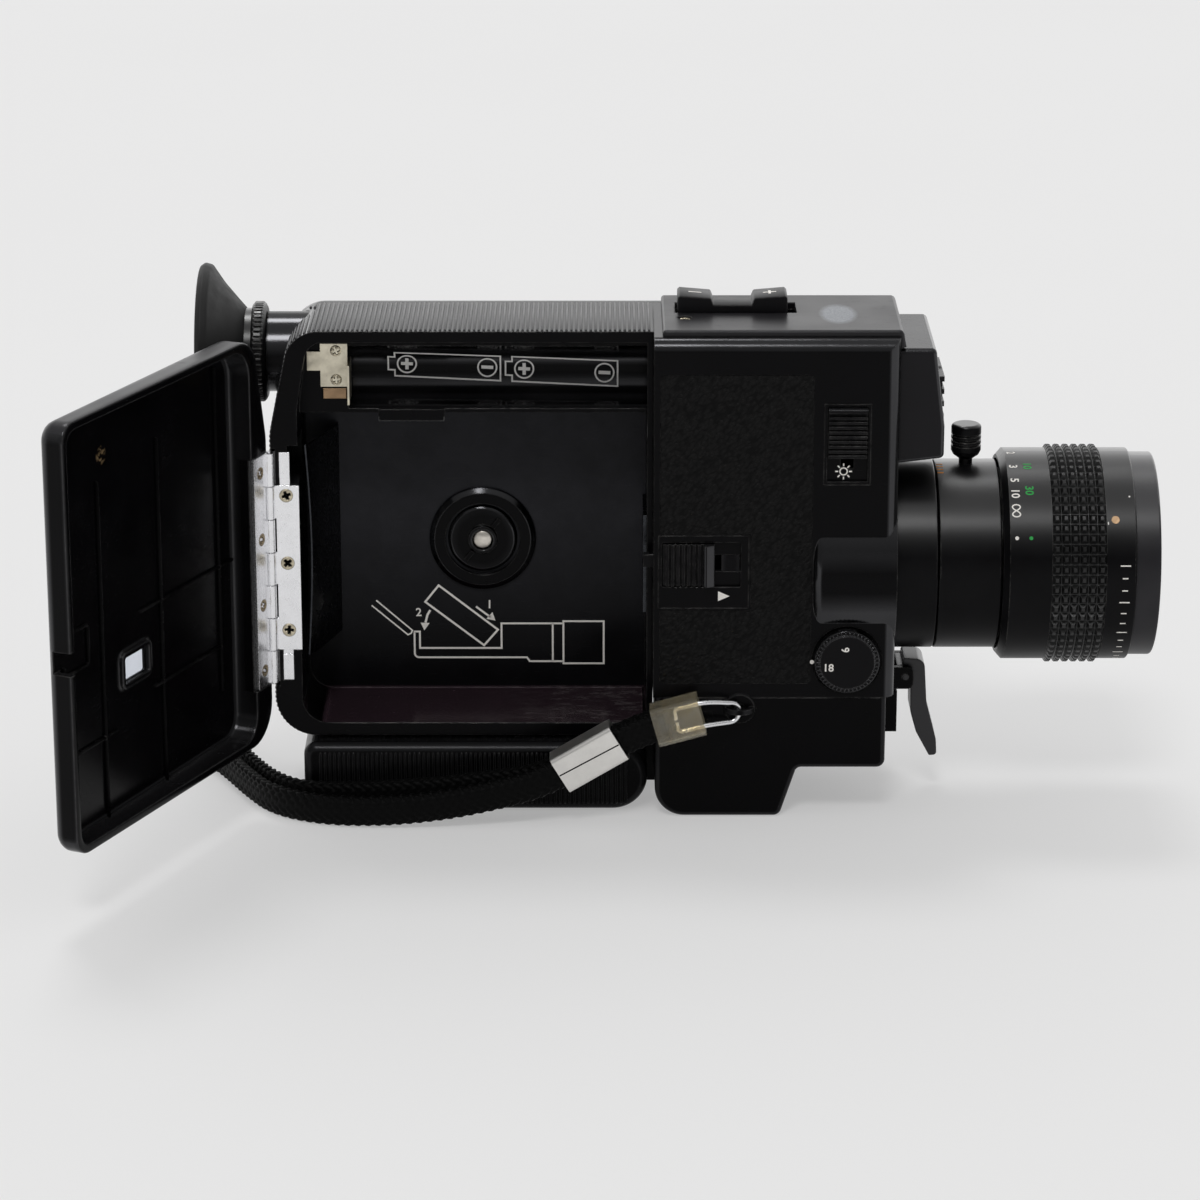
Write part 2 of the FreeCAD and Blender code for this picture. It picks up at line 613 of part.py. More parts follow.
# Tripod block with its socket, trigger mount and the lug that carries the grip
def make_bottom_block():
    outline = [(-block_back, 0, 7), (s.slope_foot, 0, 2), (s.slope_top, s.step_height, 1.5),
               (block_front, s.step_height, 2), (block_front, s.block_top), (-block_back, s.block_top)]
    shell = prism("block_shell", "XZ", outline, near, s.far_half)
    soften(shell, 1.4, lambda e: (on(e, y=near) or on(e, y=s.far_half)) and not on(e, z=s.block_top))
    inner = s.skin
    hollow = prism("block_hollow", "XZ",
                   [(-block_back + inner, inner * 2, 4), (s.slope_foot - inner, inner * 2, 1),
                    (s.slope_top - inner, s.step_height + inner),
                    (block_front - inner, s.step_height + inner),
                    (block_front - inner, s.block_top + over), (-block_back + inner, s.block_top + over)],
                   near + inner, s.far_half - inner)
    opened = cut("block_open", shell, [hollow])
    boss = rod("bush_boss", "Z", (0, 0), s.bush_radius + 1.5, 1, s.bush_depth + 1)
    solid = fuse("block_filled", [opened, boss] + grip_lug() + trigger_mount())
    ear_reach = s.trigger_half + s.side_gap + s.ear_thick + over
    tools = [rod("bush_hole", "Z", (0, 0), s.bush_radius, -over, s.bush_depth),
             rod("pivot_hole", "Y", pivot_axis, s.pivot_radius, -s.lug_half - over, s.lug_half + over),
             rod("trigger_hole", "Y", trigger_axis, s.trigger_pin + s.running_gap, -ear_reach, ear_reach),
             dial_seat("block_dial_seat")]
    node(cut("bottom_block", solid, tools), "bottom_block")
    node(turned("tripod_bush", "Z", (0, 0),
                [(0, s.bush_bore), (0, s.bush_radius), (s.bush_depth, s.bush_radius),
                 (s.bush_depth, s.bush_bore)]), "tripod_bush")
    node(rod("grip_pin", "Y", pivot_axis, s.pivot_radius, -s.grip_half + 1, s.grip_half - 1), "grip_pin")


def grip_lug():
    """The tongue behind the block that the grip's fork folds on."""
    base = 3.0
    tongue = rod("lug_round", "Y", pivot_axis, pivot_height - base, -s.lug_half, s.lug_half)
    arm = block("lug_arm", (-s.pivot_back, -block_back + over), about(0, s.lug_half),
                (base, pivot_height * 2 - base))
    return [tongue, arm]


def trigger_mount():
    """A step in front of the block and the two ears that carry the trigger's pin."""
    foot = block_front - 0.5
    reach = trigger_ahead + 1.9
    low, high = trigger_height - 3, trigger_height + 2.4
    step = block("trigger_step", (foot, s.front_reach + 1.9), about(0, s.trigger_half),
                 (s.step_height + 3.1, trigger_height - 4.2))
    gap = s.front_reach + s.body_gap
    ear = [(foot, low), (reach, low, 1.5), (reach, high, 1.5), (gap, high), (gap, s.block_top - 0.1),
           (foot, s.block_top - 0.1)]
    inside = s.trigger_half + s.side_gap
    outside = inside + s.ear_thick
    return [step, prism("ear_near", "XZ", ear, -outside, -inside),
            prism("ear_far", "XZ", ear, inside, outside)]


def make_grip():
    nose = -s.pivot_back + s.grip_nose
    shell = prism("grip_shell", "XZ",
                  [(-s.grip_reach, 0, 5), (nose, 0, s.grip_nose), (nose, grip_top, s.grip_nose),
                   (-s.grip_reach, grip_top, 3)], -s.grip_half, s.grip_half)
    soften(shell, 2.2, lambda e: on(e, y=s.grip_half) or on(e, y=-s.grip_half))
    slot = block("grip_slot", (-s.pivot_back - s.grip_nose - 0.7, nose + over), about(0, s.lug_half + 0.5),
                 (-over, grip_top + over))
    cheek = s.grip_half - 0.9
    hole = rod("grip_hole", "Y", pivot_axis, s.pivot_radius + s.running_gap, -cheek, cheek)
    node(cut("folding_grip", shell, [slot, hole]), "folding_grip")


def make_trigger():
    """A curved blade hung from its pin, flared out at the fingertip."""
    x, z = trigger_axis
    outline = [(x - 2.0, z - 2.6), (x + 1.4, z - 3.4), (x + 1.5, z - 9.5, 4), (x + 2.9, z - 14.5, 6),
               (x + 6.2, z - 20.6, 0.5), (x + 8.0, z - 20.4, 0.8), (x + 7.8, z - 16.5, 5),
               (x + 5.3, z - 7, 9), (x + 4.6, z + 3.8, 2.2), (x - 0.6, z + 4.2, 0.8),
               (x - 0.6, z + 2.4), (x - 2.0, z + 2.4)]
    blade = prism("trigger_blade", "XZ", outline, -s.trigger_half, s.trigger_half)
    reach = s.trigger_half + s.side_gap + s.ear_thick
    trunnions = rod("trigger_trunnions", "Y", trigger_axis, s.trigger_pin, -reach, reach)
    node(fuse("trigger_lever", [blade, trunnions]), "trigger_lever")


# Top plate, zoom rocker and the upper front housing
def make_top():
    front = s.front_reach
    lip = nose_top + 0.9
    plate = prism("plate_shell", "XZ",
                  [(-plate_back, s.body_top), (front, s.body_top), (front, lip), (front + 1.3, lip),
                   (front + 0.6, plate_top, 1.2), (-plate_back, plate_top, 0.8)],
                  -s.plate_near, s.plate_far)
    soften(plate, 0.7, lambda e: on(e, y=-s.plate_near, z=plate_top))
    slot = rocker_slot("plate_slot", s.body_top - over, plate_top + over)
    screw_seat = rod("plate_screw_seat", "Z", PLATE_SCREW, s.screw_radius + 0.1, plate_top - s.screw_depth,
                     plate_top + over)
    node(cut("top_plate", plate, [slot, screw_seat]), "top_plate")
    make_rocker()


def make_rocker():
    """Two pads on one saddle, tipped about a pin under the middle."""
    back, ahead = -s.rocker_back, s.rocker_front
    base = s.body_top - s.skin + 0.1
    pad_long = 7.8
    saddle_top = rocker_top - 2.2
    saddle = [(back, base), (ahead, base), (ahead + 0.3, rocker_top + 0.3, 1),
              (ahead - pad_long, rocker_top - 0.6, 1), (ahead - pad_long - 0.8, saddle_top, 0.8),
              (back + pad_long + 0.8, saddle_top, 0.8), (back + pad_long, rocker_top - 1.1, 1),
              (back - 0.3, rocker_top - 0.3, 1)]
    pads = prism("rocker_pads", "XZ", saddle, -s.rocker_near, s.rocker_far)
    trunnion = rod("rocker_trunnion", "Y", rocker_axis, s.rocker_pin, -s.rocker_near - 2, s.rocker_far + 2)
    node(fuse("zoom_rocker", [pads, trunnion]), "zoom_rocker")


def make_nose():
    """The meter's housing over the lens: leaning front, ribs and a round window."""
    back = s.front_reach
    front = back + s.nose_reach
    lean, wall = s.nose_lean, s.nose_wall
    shoulder = nose_bottom + 9
    outline = [(back, nose_bottom), (front, nose_bottom + 1.3, 1.2), (front, shoulder, 6),
               (front - lean, nose_top, 1.2), (back, nose_top)]
    shell = prism("nose_shell", "XZ", outline, -s.nose_half, s.nose_half)
    soften(shell, 1.0, lambda e: (on(e, y=-s.nose_half) or on(e, y=s.nose_half)) and not on(e, x=back))
    hollow = prism("nose_hollow", "XZ",
                   [(back - over, nose_bottom + wall), (front - wall, nose_bottom + wall + 1.5),
                    (front - wall, shoulder), (front - lean - wall, nose_top - wall),
                    (back - over, nose_top - wall)], -s.nose_half + wall, s.nose_half - wall)
    window = (0, (nose_top + nose_bottom) / 2)
    rib_pitch, rib_high = 3.0, 1.2
    ribs = []
    for n in range(4):
        low = window[1] + rib_pitch * (n - 1.5) - rib_high / 2
        ribs.append(block(f"nose_rib_{n}", (front - 3, front + 0.35), about(0, 9), (low, low + rib_high)))
    bezel = rod("nose_bezel", "X", window, s.meter_radius + 1.5, front - 4, front + 0.2)
    solid = cut("nose_open", fuse("nose_filled", [shell] + ribs + [bezel]), [hollow])
    tools = [rod("meter_hole", "X", window, s.meter_radius, back, front + 2 * over)]
    node(cut("nose_housing", solid, tools), "nose_housing")
    node(rod("meter_window", "X", window, s.meter_radius, front - 2.6, front - 1.2), "meter_window")


# Side controls
def make_latch():
    """The door's sliding catch: a ribbed thumb slide, its stem and the hook behind the wall."""
    plate = block("latch_plate", (-latch_back, s.latch_front), (near, near + s.frame_lift),
                  (s.latch_bottom, latch_top))
    back, front = -latch_back + s.frame_rim, s.latch_front - 1.9
    low, high = latch_middle - 5.6, latch_middle + 5.3
    window = prism("latch_window", "XZ",
                   [(back, low, 0.6), (front, low, 0.6), (front, high, 0.6), (back, high, 0.6)],
                   near - over, near + 2 * over)
    node(cut("latch_frame", plate, [window]), "latch_frame")
    tall = (low + 0.4, high - 0.4)
    slide_back, slide_front = back + 0.4, back + 12.4
    slide = block("latch_slide", (slide_back, slide_front), (near + 0.1, near + 0.9), tall)
    ribs = [block(f"latch_rib_{n}", (slide_back + 0.6 + 1.25 * n, slide_back + 1.3 + 1.25 * n),
                  (near - 0.7, near + 0.3), tall) for n in range(7)]
    thumb = prism("latch_thumb", "XY",
                  [(slide_front - 2.6, near + 0.5), (slide_front - 2.6, near - 2.2, 0.6),
                   (slide_front, near - 1.2, 0.5), (slide_front, near + 0.5)], *tall)
    bar_high = about(latch_middle, 1.5)
    hook = section - 2.4
    behind = near + s.skin + s.body_gap
    stem = block("latch_stem", (section + 3.5, section + 11.5), (near + 0.5, behind + 0.9), bar_high)
    bar = block("latch_bar", (hook, section + 11.5), (behind, behind + 1), bar_high)
    barb = block("latch_barb", (hook, section - 1), (behind, behind + 2.3), bar_high)
    node(fuse("door_latch", [slide, thumb, stem, bar, barb] + ribs), "door_latch")


def make_switch():
    """The daylight filter's slide: ribbed, with a raised crest, on a stem through the wall."""
    plate = block("switch_plate", (s.switch_back, s.switch_front), (near, near + s.frame_lift),
                  (switch_bottom, switch_top))
    window = block("switch_window", (s.switch_back + s.frame_rim, s.switch_front - s.frame_rim),
                   (near - over, near + 2 * over), (switch_bottom + s.frame_rim, switch_top - s.frame_rim))
    node(cut("switch_frame", plate, [window]), "switch_frame")
    wide = (s.switch_back + s.frame_rim + 0.2, s.switch_front - s.frame_rim - 0.2)
    top = switch_top - s.frame_rim - 0.2
    slide = block("switch_slide", wide, (near + 0.1, near + 0.9), (top - 12.3, top))
    ribs = []
    for n in range(9):
        low = top - 11.9 + 1.15 * n
        ribs.append(block(f"switch_rib_{n}", wide, (near - 0.8, near + 0.3), (low, low + 0.65)))
    crest = prism("switch_crest", "YZ", [(near - 1.6, top - 1.0), (near + 0.3, top - 1.6), (near + 0.3, top),
                                         (near - 1.6, top, 0.4)], *wide)
    behind = near + s.skin + 0.2
    tall = (top - 7.9, top - 3.9)
    stem = block("switch_stem", about(switch_middle, 1.2), (near + 0.5, behind + 0.6), tall)
    foot = block("switch_foot", about(switch_middle, 2.5), (behind, behind + 1), tall)
    node(fuse("filter_slider", [slide, crest, stem, foot] + ribs), "filter_slider")


def make_dial():
    """The speed dial: a coin with a stepped edge, held by a washer behind the wall."""
    face = near - s.dial_proud
    shoulder = face + 0.4
    disc = turned("dial_disc", "Y", dial_axis,
                  [(face, 0), (near + 0.6, 0), (near + 0.6, s.dial_radius), (shoulder, s.dial_radius, 0.3),
                   (shoulder, s.dial_radius - 0.9), (face, s.dial_radius - 1.3)])
    behind = near + s.skin + 0.2
    shaft = rod("dial_shaft", "Y", dial_axis, s.dial_shaft, near, behind + 1.4)
    washer = rod("dial_washer", "Y", dial_axis, s.dial_shaft + 1.4, behind, behind + 1)
    node(fuse("speed_dial", [disc, shaft, washer]), "speed_dial")


# Lens: fixed mount and core, zoom ring with lever, focus ring with its bezel and glass
def make_lens():
    back = s.front_reach
    mount_bore = core_radius + 0.5
    node(turned("lens_mount", "X", lens_axis,
                [(back, s.tube_radius), (back + 2, s.tube_radius), (back + 2, mount_bore),
                 (barrel_front, mount_bore), (barrel_front, s.barrel_radius, 0.3),
                 (back, s.barrel_radius)]), "lens_mount")
    core_back = section + s.skin + 5
    core_bore = core_radius - s.core_wall
    node(turned("lens_core", "X", lens_axis,
                [(core_back, s.tube_bore), (back + 4, s.tube_bore), (back + 4, core_bore),
                 (zoom_front + 2, core_bore), (zoom_front + 2, helix_radius - s.core_wall),
                 (grip_end, helix_radius - s.core_wall), (grip_end, helix_radius),
                 (zoom_front + 0.5, helix_radius), (zoom_front + 0.5, core_radius),
                 (back + 2.2, core_radius), (back + 2.2, s.tube_radius), (core_back, s.tube_radius)]),
         "lens_core")
    make_zoom_ring()
    make_focus_ring()
    glass_radius = filter_radius - s.glass_inset
    make_glass("front_element", glass_radius, sleeve_front - s.glass_seat, sleeve_front + 0.6, 2.28)
    make_glass("zoom_group", core_bore, barrel_front - 1, barrel_front + 4, 3.5)
    make_glass("rear_group", s.tube_bore, back - 23, back - 16, 2.86)
    node(block("finder_prism", (back - 12, back + 2), about(0, s.prism_half),
               about(lens_height, s.prism_half)), "finder_prism")


def make_zoom_ring():
    bore = core_radius + s.running_gap
    start = barrel_front + s.body_gap
    ring = turned("zoom_body", "X", lens_axis,
                  [(start, bore), (zoom_front, bore), (zoom_front, s.barrel_radius, 0.3),
                   (start, s.barrel_radius, 0.3)])
    foot = lens_height + core_radius + 1.5
    neck = lens_height + s.barrel_radius
    top = lens_height + knob_top
    socket = rod("knob_socket", "Z", (knob_ahead, 0), s.knob_stem, foot, neck + over)
    node(cut("zoom_ring", ring, [socket]), "zoom_ring")
    wide = s.knob_radius
    knob = [(foot, 0), (foot, s.knob_stem), (neck + 1.1, s.knob_stem), (neck + 2.2, wide - 0.5),
            (neck + 3.2, wide)]
    for n in range(3):
        groove = neck + 4.4 + 1.2 * n
        knob += [(groove, wide), (groove, wide - 0.4), (groove + 0.5, wide - 0.4), (groove + 0.5, wide)]
    knob += [(top, wide, 0.9), (top, 0)]
    node(turned("zoom_knob", "Z", (knob_ahead, 0), knob), "zoom_knob")


def make_focus_ring():
    """The sleeve on the core's helix, its ridged grip, and the bezel with the filter thread."""
    start = zoom_front + s.body_gap
    skirt = s.barrel_radius + s.body_gap
    bore = helix_radius + s.running_gap
    seat = sleeve_radius - 0.6
    node(turned("focus_sleeve", "X", lens_axis,
                [(start, skirt), (start + 4, skirt), (start + 4, bore), (start + 14, bore),
                 (start + 14, s.barrel_radius), (sleeve_front, s.barrel_radius),
                 (sleeve_front, sleeve_radius, 0.4), (grip_end, sleeve_radius), (grip_end, seat),
                 (grip_start, seat), (grip_start, sleeve_radius), (start + 1.4, sleeve_radius),
                 (start, sleeve_radius - 1.6)]), "focus_sleeve")
    ridges = [(grip_start, seat), (grip_end, seat)]
    columns = 6
    pitch = (grip_end - grip_start) / columns
    for n in range(columns):
        right = grip_end - pitch * n
        ridges += [(right, sleeve_radius), (right - pitch / 2, sleeve_radius + 0.8)]
    ridges.append((grip_start, sleeve_radius))
    node(turned("focus_grip", "X", lens_axis, ridges), "focus_grip")
    glass_back = sleeve_front - s.glass_seat
    glass_radius = filter_radius - s.glass_inset
    node(turned("front_bezel", "X", lens_axis,
                [(glass_back, glass_radius), (sleeve_front + 0.9, glass_radius),
                 (sleeve_front + 0.9, filter_radius), (rim_front, filter_radius),
                 (rim_front, rim_radius, 0.5), (sleeve_front, rim_radius),
                 (sleeve_front, s.barrel_radius), (glass_back, s.barrel_radius)]), "front_bezel")


def make_glass(name, radius, back, apex, bow):
    """A disc whose front face is part of a ball, bow times its own radius."""
    curve = radius * bow
    ball = doc.addObject("Part::Sphere", f"{name}_ball")
    bind(ball, "Radius", curve)
    bind(ball, "Placement.Base.x", apex - curve)
    bind(ball, "Placement.Base.z", lens_height)
    edge = rod(f"{name}_edge", "X", lens_axis, radius, back, apex)
    node(common(name, [ball, edge]), name)


# Eyepiece and finder
def make_eyepiece():
    end = rear - 1.4
    spigot_end = rear - 6.0
    bore = eye_spigot - s.spigot_wall
    node(turned("eyepiece_tube", "X", eye_axis,
                [(spigot_end, bore), (tube_seat, bore), (tube_seat, s.eye_tube), (end, s.eye_tube),
                 (end, eye_spigot), (spigot_end, eye_spigot)]), "eyepiece_tube")
    node(rod("eyepiece_lens", "X", eye_axis, bore, spigot_end + 0.6, spigot_end + 2.8), "eyepiece_lens")
    finder_bore = s.finder_radius - s.finder_wall
    start, stop = tube_seat + 0.2, s.front_reach - 5.5
    node(turned("finder_tube", "X", eye_axis,
                [(start, finder_bore), (stop, finder_bore), (stop, s.finder_radius),
                 (start, s.finder_radius)]), "finder_tube")
    make_eye_focus(end - s.body_gap)


def make_eye_focus(front):
    """The dioptre ring on the spigot, and the rubber cup stretched over its collar."""
    bore = eye_spigot + s.running_gap
    band = 3.4
    back = front - band
    collar = back - 1.6
    lip = dioptre_radius
    node(turned("dioptre_ring", "X", eye_axis,
                [(collar - band, bore), (front, bore), (front, lip - 1.0), (front - 0.7, lip),
                 (back + 0.7, lip), (back, lip - 0.8), (back, lip - 1.6), (collar, lip - 1.6),
                 (collar, bore + 1), (collar - band, bore + 1)]), "dioptre_ring")
    rim_x = -cup_rear
    node(turned("eyecup", "X", eye_axis,
                [(collar, bore + 1), (collar, lip - 1.4), (collar - 1.6, lip + 0.4, 3),
                 (collar - 5.2, lip + 4.6, 14), (rim_x + 2.8, s.cup_radius - 0.4, 1.2),
                 (rim_x + 1.2, s.cup_radius, 0.8),
                 (rim_x, s.cup_radius - 0.8, 0.6), (rim_x + 0.4, s.cup_radius - 2.4, 0.6),
                 (collar - 5.6, lip + 1.6, 8), (collar - 3.6, bore + 1)]), "eyecup")


# Battery contacts, film gate and cartridge spring
def make_bay_parts():
    wall = -s.trough_lip
    thick = s.contact_thick
    start = -s.trough_start
    level = trough_height
    plate = block("contact_main", (start - 6.5, start - 0.1), (wall - thick, wall),
                  (level - 2.2, level + 8.2))
    arm = block("contact_arm", (start - 9.6, start - 6.4), (wall - thick, wall), (level + 1.7, level + 6.3))
    node(fuse("battery_contact", [plate, arm]), "battery_contact")
    head = s.contact_screw
    heads = [turned(f"contact_screw_{n}", "Y", (start - 2.8, level + rise),
                    [(wall - 2 * thick, 0), (wall - thick, 0), (wall - thick, head),
                     (wall - 2 * thick + 0.2, head, 0.2)])
             for n, rise in enumerate((-0.5, 6.5), start=1)]
    node(group("contact_screws", heads), "contact_screws")
    end = s.battery_reach - s.trough_wall
    plates = [block("rear_contact", (start, start + 0.5), (wall - 5, wall + 4), (level - 5.5, level + 4)),
              block("front_contact", (end - 0.5, end), (wall - 4, wall + 4), about(level, 4))]
    node(group("end_contacts", plates), "end_contacts")
    gate = block("gate_plate", (-bay_front - s.rib_thick, -bay_front), about(0, s.gate_half),
                 about(lens_height, s.gate_rise))
    window = block("gate_window", (-bay_front - 2, -bay_front + over), about(0, s.image_half),
                   about(lens_height, s.image_rise))
    node(cut("aperture_plate", gate, [window]), "aperture_plate")
    back = -bay_back
    leaf = 0.6
    low, high = s.bay_bottom + 13.1, bay_top - 12
    bow = [(back, low), (back + leaf, low), (back + 6, low + 12, 20), (back + 6, high - 12, 20),
           (back + leaf, high), (back, high), (back + 6 - leaf, high - 12, 20 - leaf),
           (back + 6 - leaf, low + 12, 20 - leaf)]
    node(prism("cartridge_spring", "XZ", bow, -8, 8), "cartridge_spring")


# Works between the bay and the far cover
def gear_solid(name, centre, teeth, bore, low, phase):
    """A spur gear whose outline steps through root, flank, tip and flank of every tooth."""
    pitch_radius = s.tooth_module.value * teeth / 2
    tip = pitch_radius + s.tooth_module.value * 0.8
    base = pitch_radius - s.tooth_module.value * 1.1
    step = 2 * math.pi / teeth
    points = []
    for n in range(teeth):
        for radius, share in ((base, -0.36), (tip, -0.11), (tip, 0.11), (base, 0.36)):
            angle = phase + step * (n + share)
            points.append(Vector(radius * math.cos(angle), 0, radius * math.sin(angle)))
    face = Part.Face(Part.makePolygon(points + points[:1]))
    wheel = face.extrude(Vector(0, s.gear_thick.value, 0))
    if wheel.Volume < 0:
        wheel.reverse()
    if bore:
        wheel = wheel.cut(Part.makeCylinder(bore, s.gear_thick.value, Vector(), Vector(0, 1, 0)))
    feature = doc.addObject("Part::Feature", name)
    feature.Shape = wheel
    spot = Vector(centre[0].value, low.value, centre[1].value)
    feature.Placement = FreeCAD.Placement(spot, FreeCAD.Rotation())
    return feature


def bearing(start, end):
    return math.atan2((end[1] - start[1]).value, (end[0] - start[0]).value)


def make_drive():
    low = seam + s.gear_gap
    high = low + s.gear_thick
    to_motor = bearing(idler_axis, motor_axis)
    to_spindle = bearing(idler_axis, spindle_axis)
    # the pinion points a tooth at the idler, and the idler faces it with a gap
    pinion = gear_solid("pinion_wheel", motor_axis, PINION_TEETH, 0, low, to_motor + math.pi)
    shaft = rod("pinion_shaft", "Y", motor_axis, s.motor_shaft, seam - 4.8, high + 0.6)
    node(fuse("motor_pinion", [pinion, shaft]), "motor_pinion")
    idler_phase = to_motor + math.pi / IDLER_TEETH
    idler_bore = (s.post_radius + s.running_gap).value
    node(gear_solid("idler_gear", idler_axis, IDLER_TEETH, idler_bore, low, idler_phase), "idler_gear")
    # how far, in teeth, the idler stands past a tooth where it meets the spindle's wheel
    past = (to_spindle - idler_phase) / (2 * math.pi / IDLER_TEETH) % 1
    spindle_phase = to_spindle + math.pi + (past + 0.5) * 2 * math.pi / SPINDLE_TEETH
    bore = s.spindle_shaft.value
    node(gear_solid("spindle_wheel", spindle_axis, SPINDLE_TEETH, bore, low, spindle_phase), "spindle_gear")
    make_spindle(high + 0.5)


def make_spindle(end):
    """A dished disc with a small pin in front and three lugs that turn the film's core."""
    floor = s.bay_floor
    disc, shaft = s.spindle_disc, s.spindle_shaft
    pin = 2.3
    hub = turned("spindle_hub", "Y", spindle_axis,
                 [(floor - 8, 0), (floor - 8, pin - 0.4), (floor - 7.6, pin), (floor - 4.6, pin),
                  (floor - 4.2, pin + 1.3), (floor - 3.2, disc - 0.6), (floor - 2.8, disc),
                  (floor - 0.4, disc), (floor - 0.4, shaft), (end, shaft), (end, 0)])
    start, half = 2.0, 0.9
    lugs = []
    for n in range(3):
        turn = 120 * n + 90
        lug = block(f"spindle_lug_{n}", (start, start + 3), (floor - 6.8, floor - 4), about(0, half))
        lug.Placement = FreeCAD.Placement(Vector(), FreeCAD.Rotation(Vector(0, 1, 0), turn))
        cosine, sine = math.cos(math.radians(turn)), math.sin(math.radians(turn))
        # each lug's own corner is turned about the spindle's axis with it
        bind(lug, "Placement.Base.x", spindle_axis[0] + start * cosine - half * sine)
        bind(lug, "Placement.Base.y", floor - 6.8)
        bind(lug, "Placement.Base.z", spindle_axis[1] - start * sine - half * cosine)
        lugs.append(lug)
    node(fuse("take_up_spindle", [hub] + lugs), "take_up_spindle")


def make_works():
    front = seam - 2.3
    bore = s.motor_shaft + s.running_gap
    boss = s.motor_shaft + 2
    back = front - s.motor_long
    node(turned("motor_can", "Y", motor_axis,
                [(back, 0), (back, s.motor_radius, 1), (front, s.motor_radius, 1), (front, boss),
                 (front + 1.2, boss), (front + 1.2, bore), (front - 3, bore), (front - 3, 0)]), "motor")
    x, z = motor_axis
    face = -s.frame_back
    rear_face = face + s.frame_thick
    seat = z - s.motor_radius
    plate = block("frame_plate", (face, rear_face), (near + 5, seam - 0.5),
                  (s.block_top + s.skin, z + s.motor_radius + 0.5))
    shelf = block("frame_shelf", (rear_face - 0.1, x + s.motor_radius + 2), (back, front),
                  (seat - s.frame_thick, seat))
    shutter_axis = (0, shutter_height)
    hole = (face - over, rear_face + 1.5)
    tools = [rod("frame_light", "X", lens_axis, s.tube_radius / 2, *hole),
             rod("frame_bearing", "X", shutter_axis, s.axle_radius + s.running_gap, *hole)]
    node(cut("mechanism_frame", fuse("frame_solid", [plate, shelf]), tools), "mechanism_frame")
    blade_front = face - 1
    blade_back = blade_front - s.shutter_thick
    disc = rod("shutter_blade", "X", shutter_axis, s.shutter_radius, blade_back, blade_front)
    edge = s.shutter_radius + over
    opening = prism("shutter_opening", "YZ",
                    [(2.5, lens_height - edge), (edge, lens_height - edge), (edge, lens_height + edge * 2),
                     (2.5, lens_height + edge * 2)], blade_back - 0.5, blade_front + 0.5)
    axle = rod("shutter_axle", "X", shutter_axis, s.axle_radius, blade_back + 0.1, rear_face + 0.9)
    node(fuse("shutter_disc", [cut("shutter_cut", disc, [opening]), axle]), "shutter_disc")


# Door, turned about the hinge pin to where it stands open
def swing(feature):
    """Turn a piece from its closed place to the open angle about the hinge pin."""
    angle = -s.door_open
    feature.Placement = FreeCAD.Placement(Vector(), FreeCAD.Rotation(Vector(0, 0, 1), angle.value))
    cosine = Size(math.cos(math.radians(angle.value)), f"cos({angle.formula})")
    sine = Size(math.sin(math.radians(angle.value)), f"sin({angle.formula})")
    x, y = pin_axis
    bind(feature, "Placement.Rotation.Angle", angle)
    bind(feature, "Placement.Base.x", x - x * cosine + y * sine)
    bind(feature, "Placement.Base.y", y - x * sine - y * cosine)
    return feature


def pin_groove(name):
    """The hollow along a rim that the hinge's knuckles turn in."""
    return rod(name, "Z", pin_axis, s.knuckle_radius + s.body_gap, s.hinge_bottom - 0.9, hinge_top + 0.9)


def knuckles(name, turns):
    """One roll of the hinge at each of these knuckle lengths above its bottom."""
    rolls = []
    for n in turns:
        low, high = knuckle_span(n)
        rolls.append(rod(f"{name}_knuckle_{n}", "Z", pin_axis, s.knuckle_radius, low, high))
    return rolls


def knuckle_span(n):
    low = s.hinge_bottom + s.knuckle_length * n
    return (low + 0.1, low + s.knuckle_length - 0.1)


BODY_KNUCKLES = (1, 3, 5)
DOOR_KNUCKLES = (0, 2, 4, 6)
BODY_SCREWS = (1.6, 3.65, 5.7)
DOOR_SCREWS = (0.5, 2.5, 4.5, 6.5)


def make_hinge():
    x = pin_axis[0]
    bottom, long, thick = s.hinge_bottom, s.knuckle_length, s.leaf_thick
    inside = rear + s.leaf_inset
    side = inside + s.leaf_width
    screw_x = rear + 3.4
    bore = rod("leaf_bore", "Z", pin_axis, s.pin_radius, bottom - over, hinge_top + over)
    leaf = block("leaf_plate", (inside, side), (rim, rim + thick), (bottom + long, bottom + 6 * long))
    edge = (rear + 1.9, rear + 4.3)
    tab = 6.3
    strip = block("leaf_strip", edge, (rim + thick / 2, rim + thick), (bottom + 0.6, hinge_top))
    tabs = [block("leaf_tab_low", edge, (rim, rim + thick), (bottom + 0.6, bottom + 0.6 + tab)),
            block("leaf_tab_high", edge, (rim, rim + thick), (hinge_top - tab, hinge_top))]
    arms = [block(f"leaf_arm_{n}", (x, inside + 0.2), (rim, rim + thick), knuckle_span(n))
            for n in BODY_KNUCKLES]
    solid = fuse("leaf_solid", [leaf, strip] + tabs + arms + knuckles("leaf", BODY_KNUCKLES))
    heights = [bottom + long * turns for turns in BODY_SCREWS]
    sunk = rim + 0.2
    seats = [rod(f"leaf_screw_seat_{n}", "Y", (screw_x, height), s.screw_radius, rim - over, sunk)
             for n, height in enumerate(heights, start=1)]
    node(cut("hinge_body_leaf", solid, [bore] + seats), "hinge_body_leaf")
    node(rod("hinge_pin", "Z", pin_axis, s.pin_radius, bottom - 0.4, hinge_top + 0.4), "hinge_pin")
    heads = [rod(f"leaf_screw_{n}", "Y", (screw_x, height), s.screw_radius, rim - 0.1, sunk)
             for n, height in enumerate(heights, start=1)]
    node(group("hinge_screws", heads), "hinge_screws")
    make_door_leaf(inside, side, screw_x)


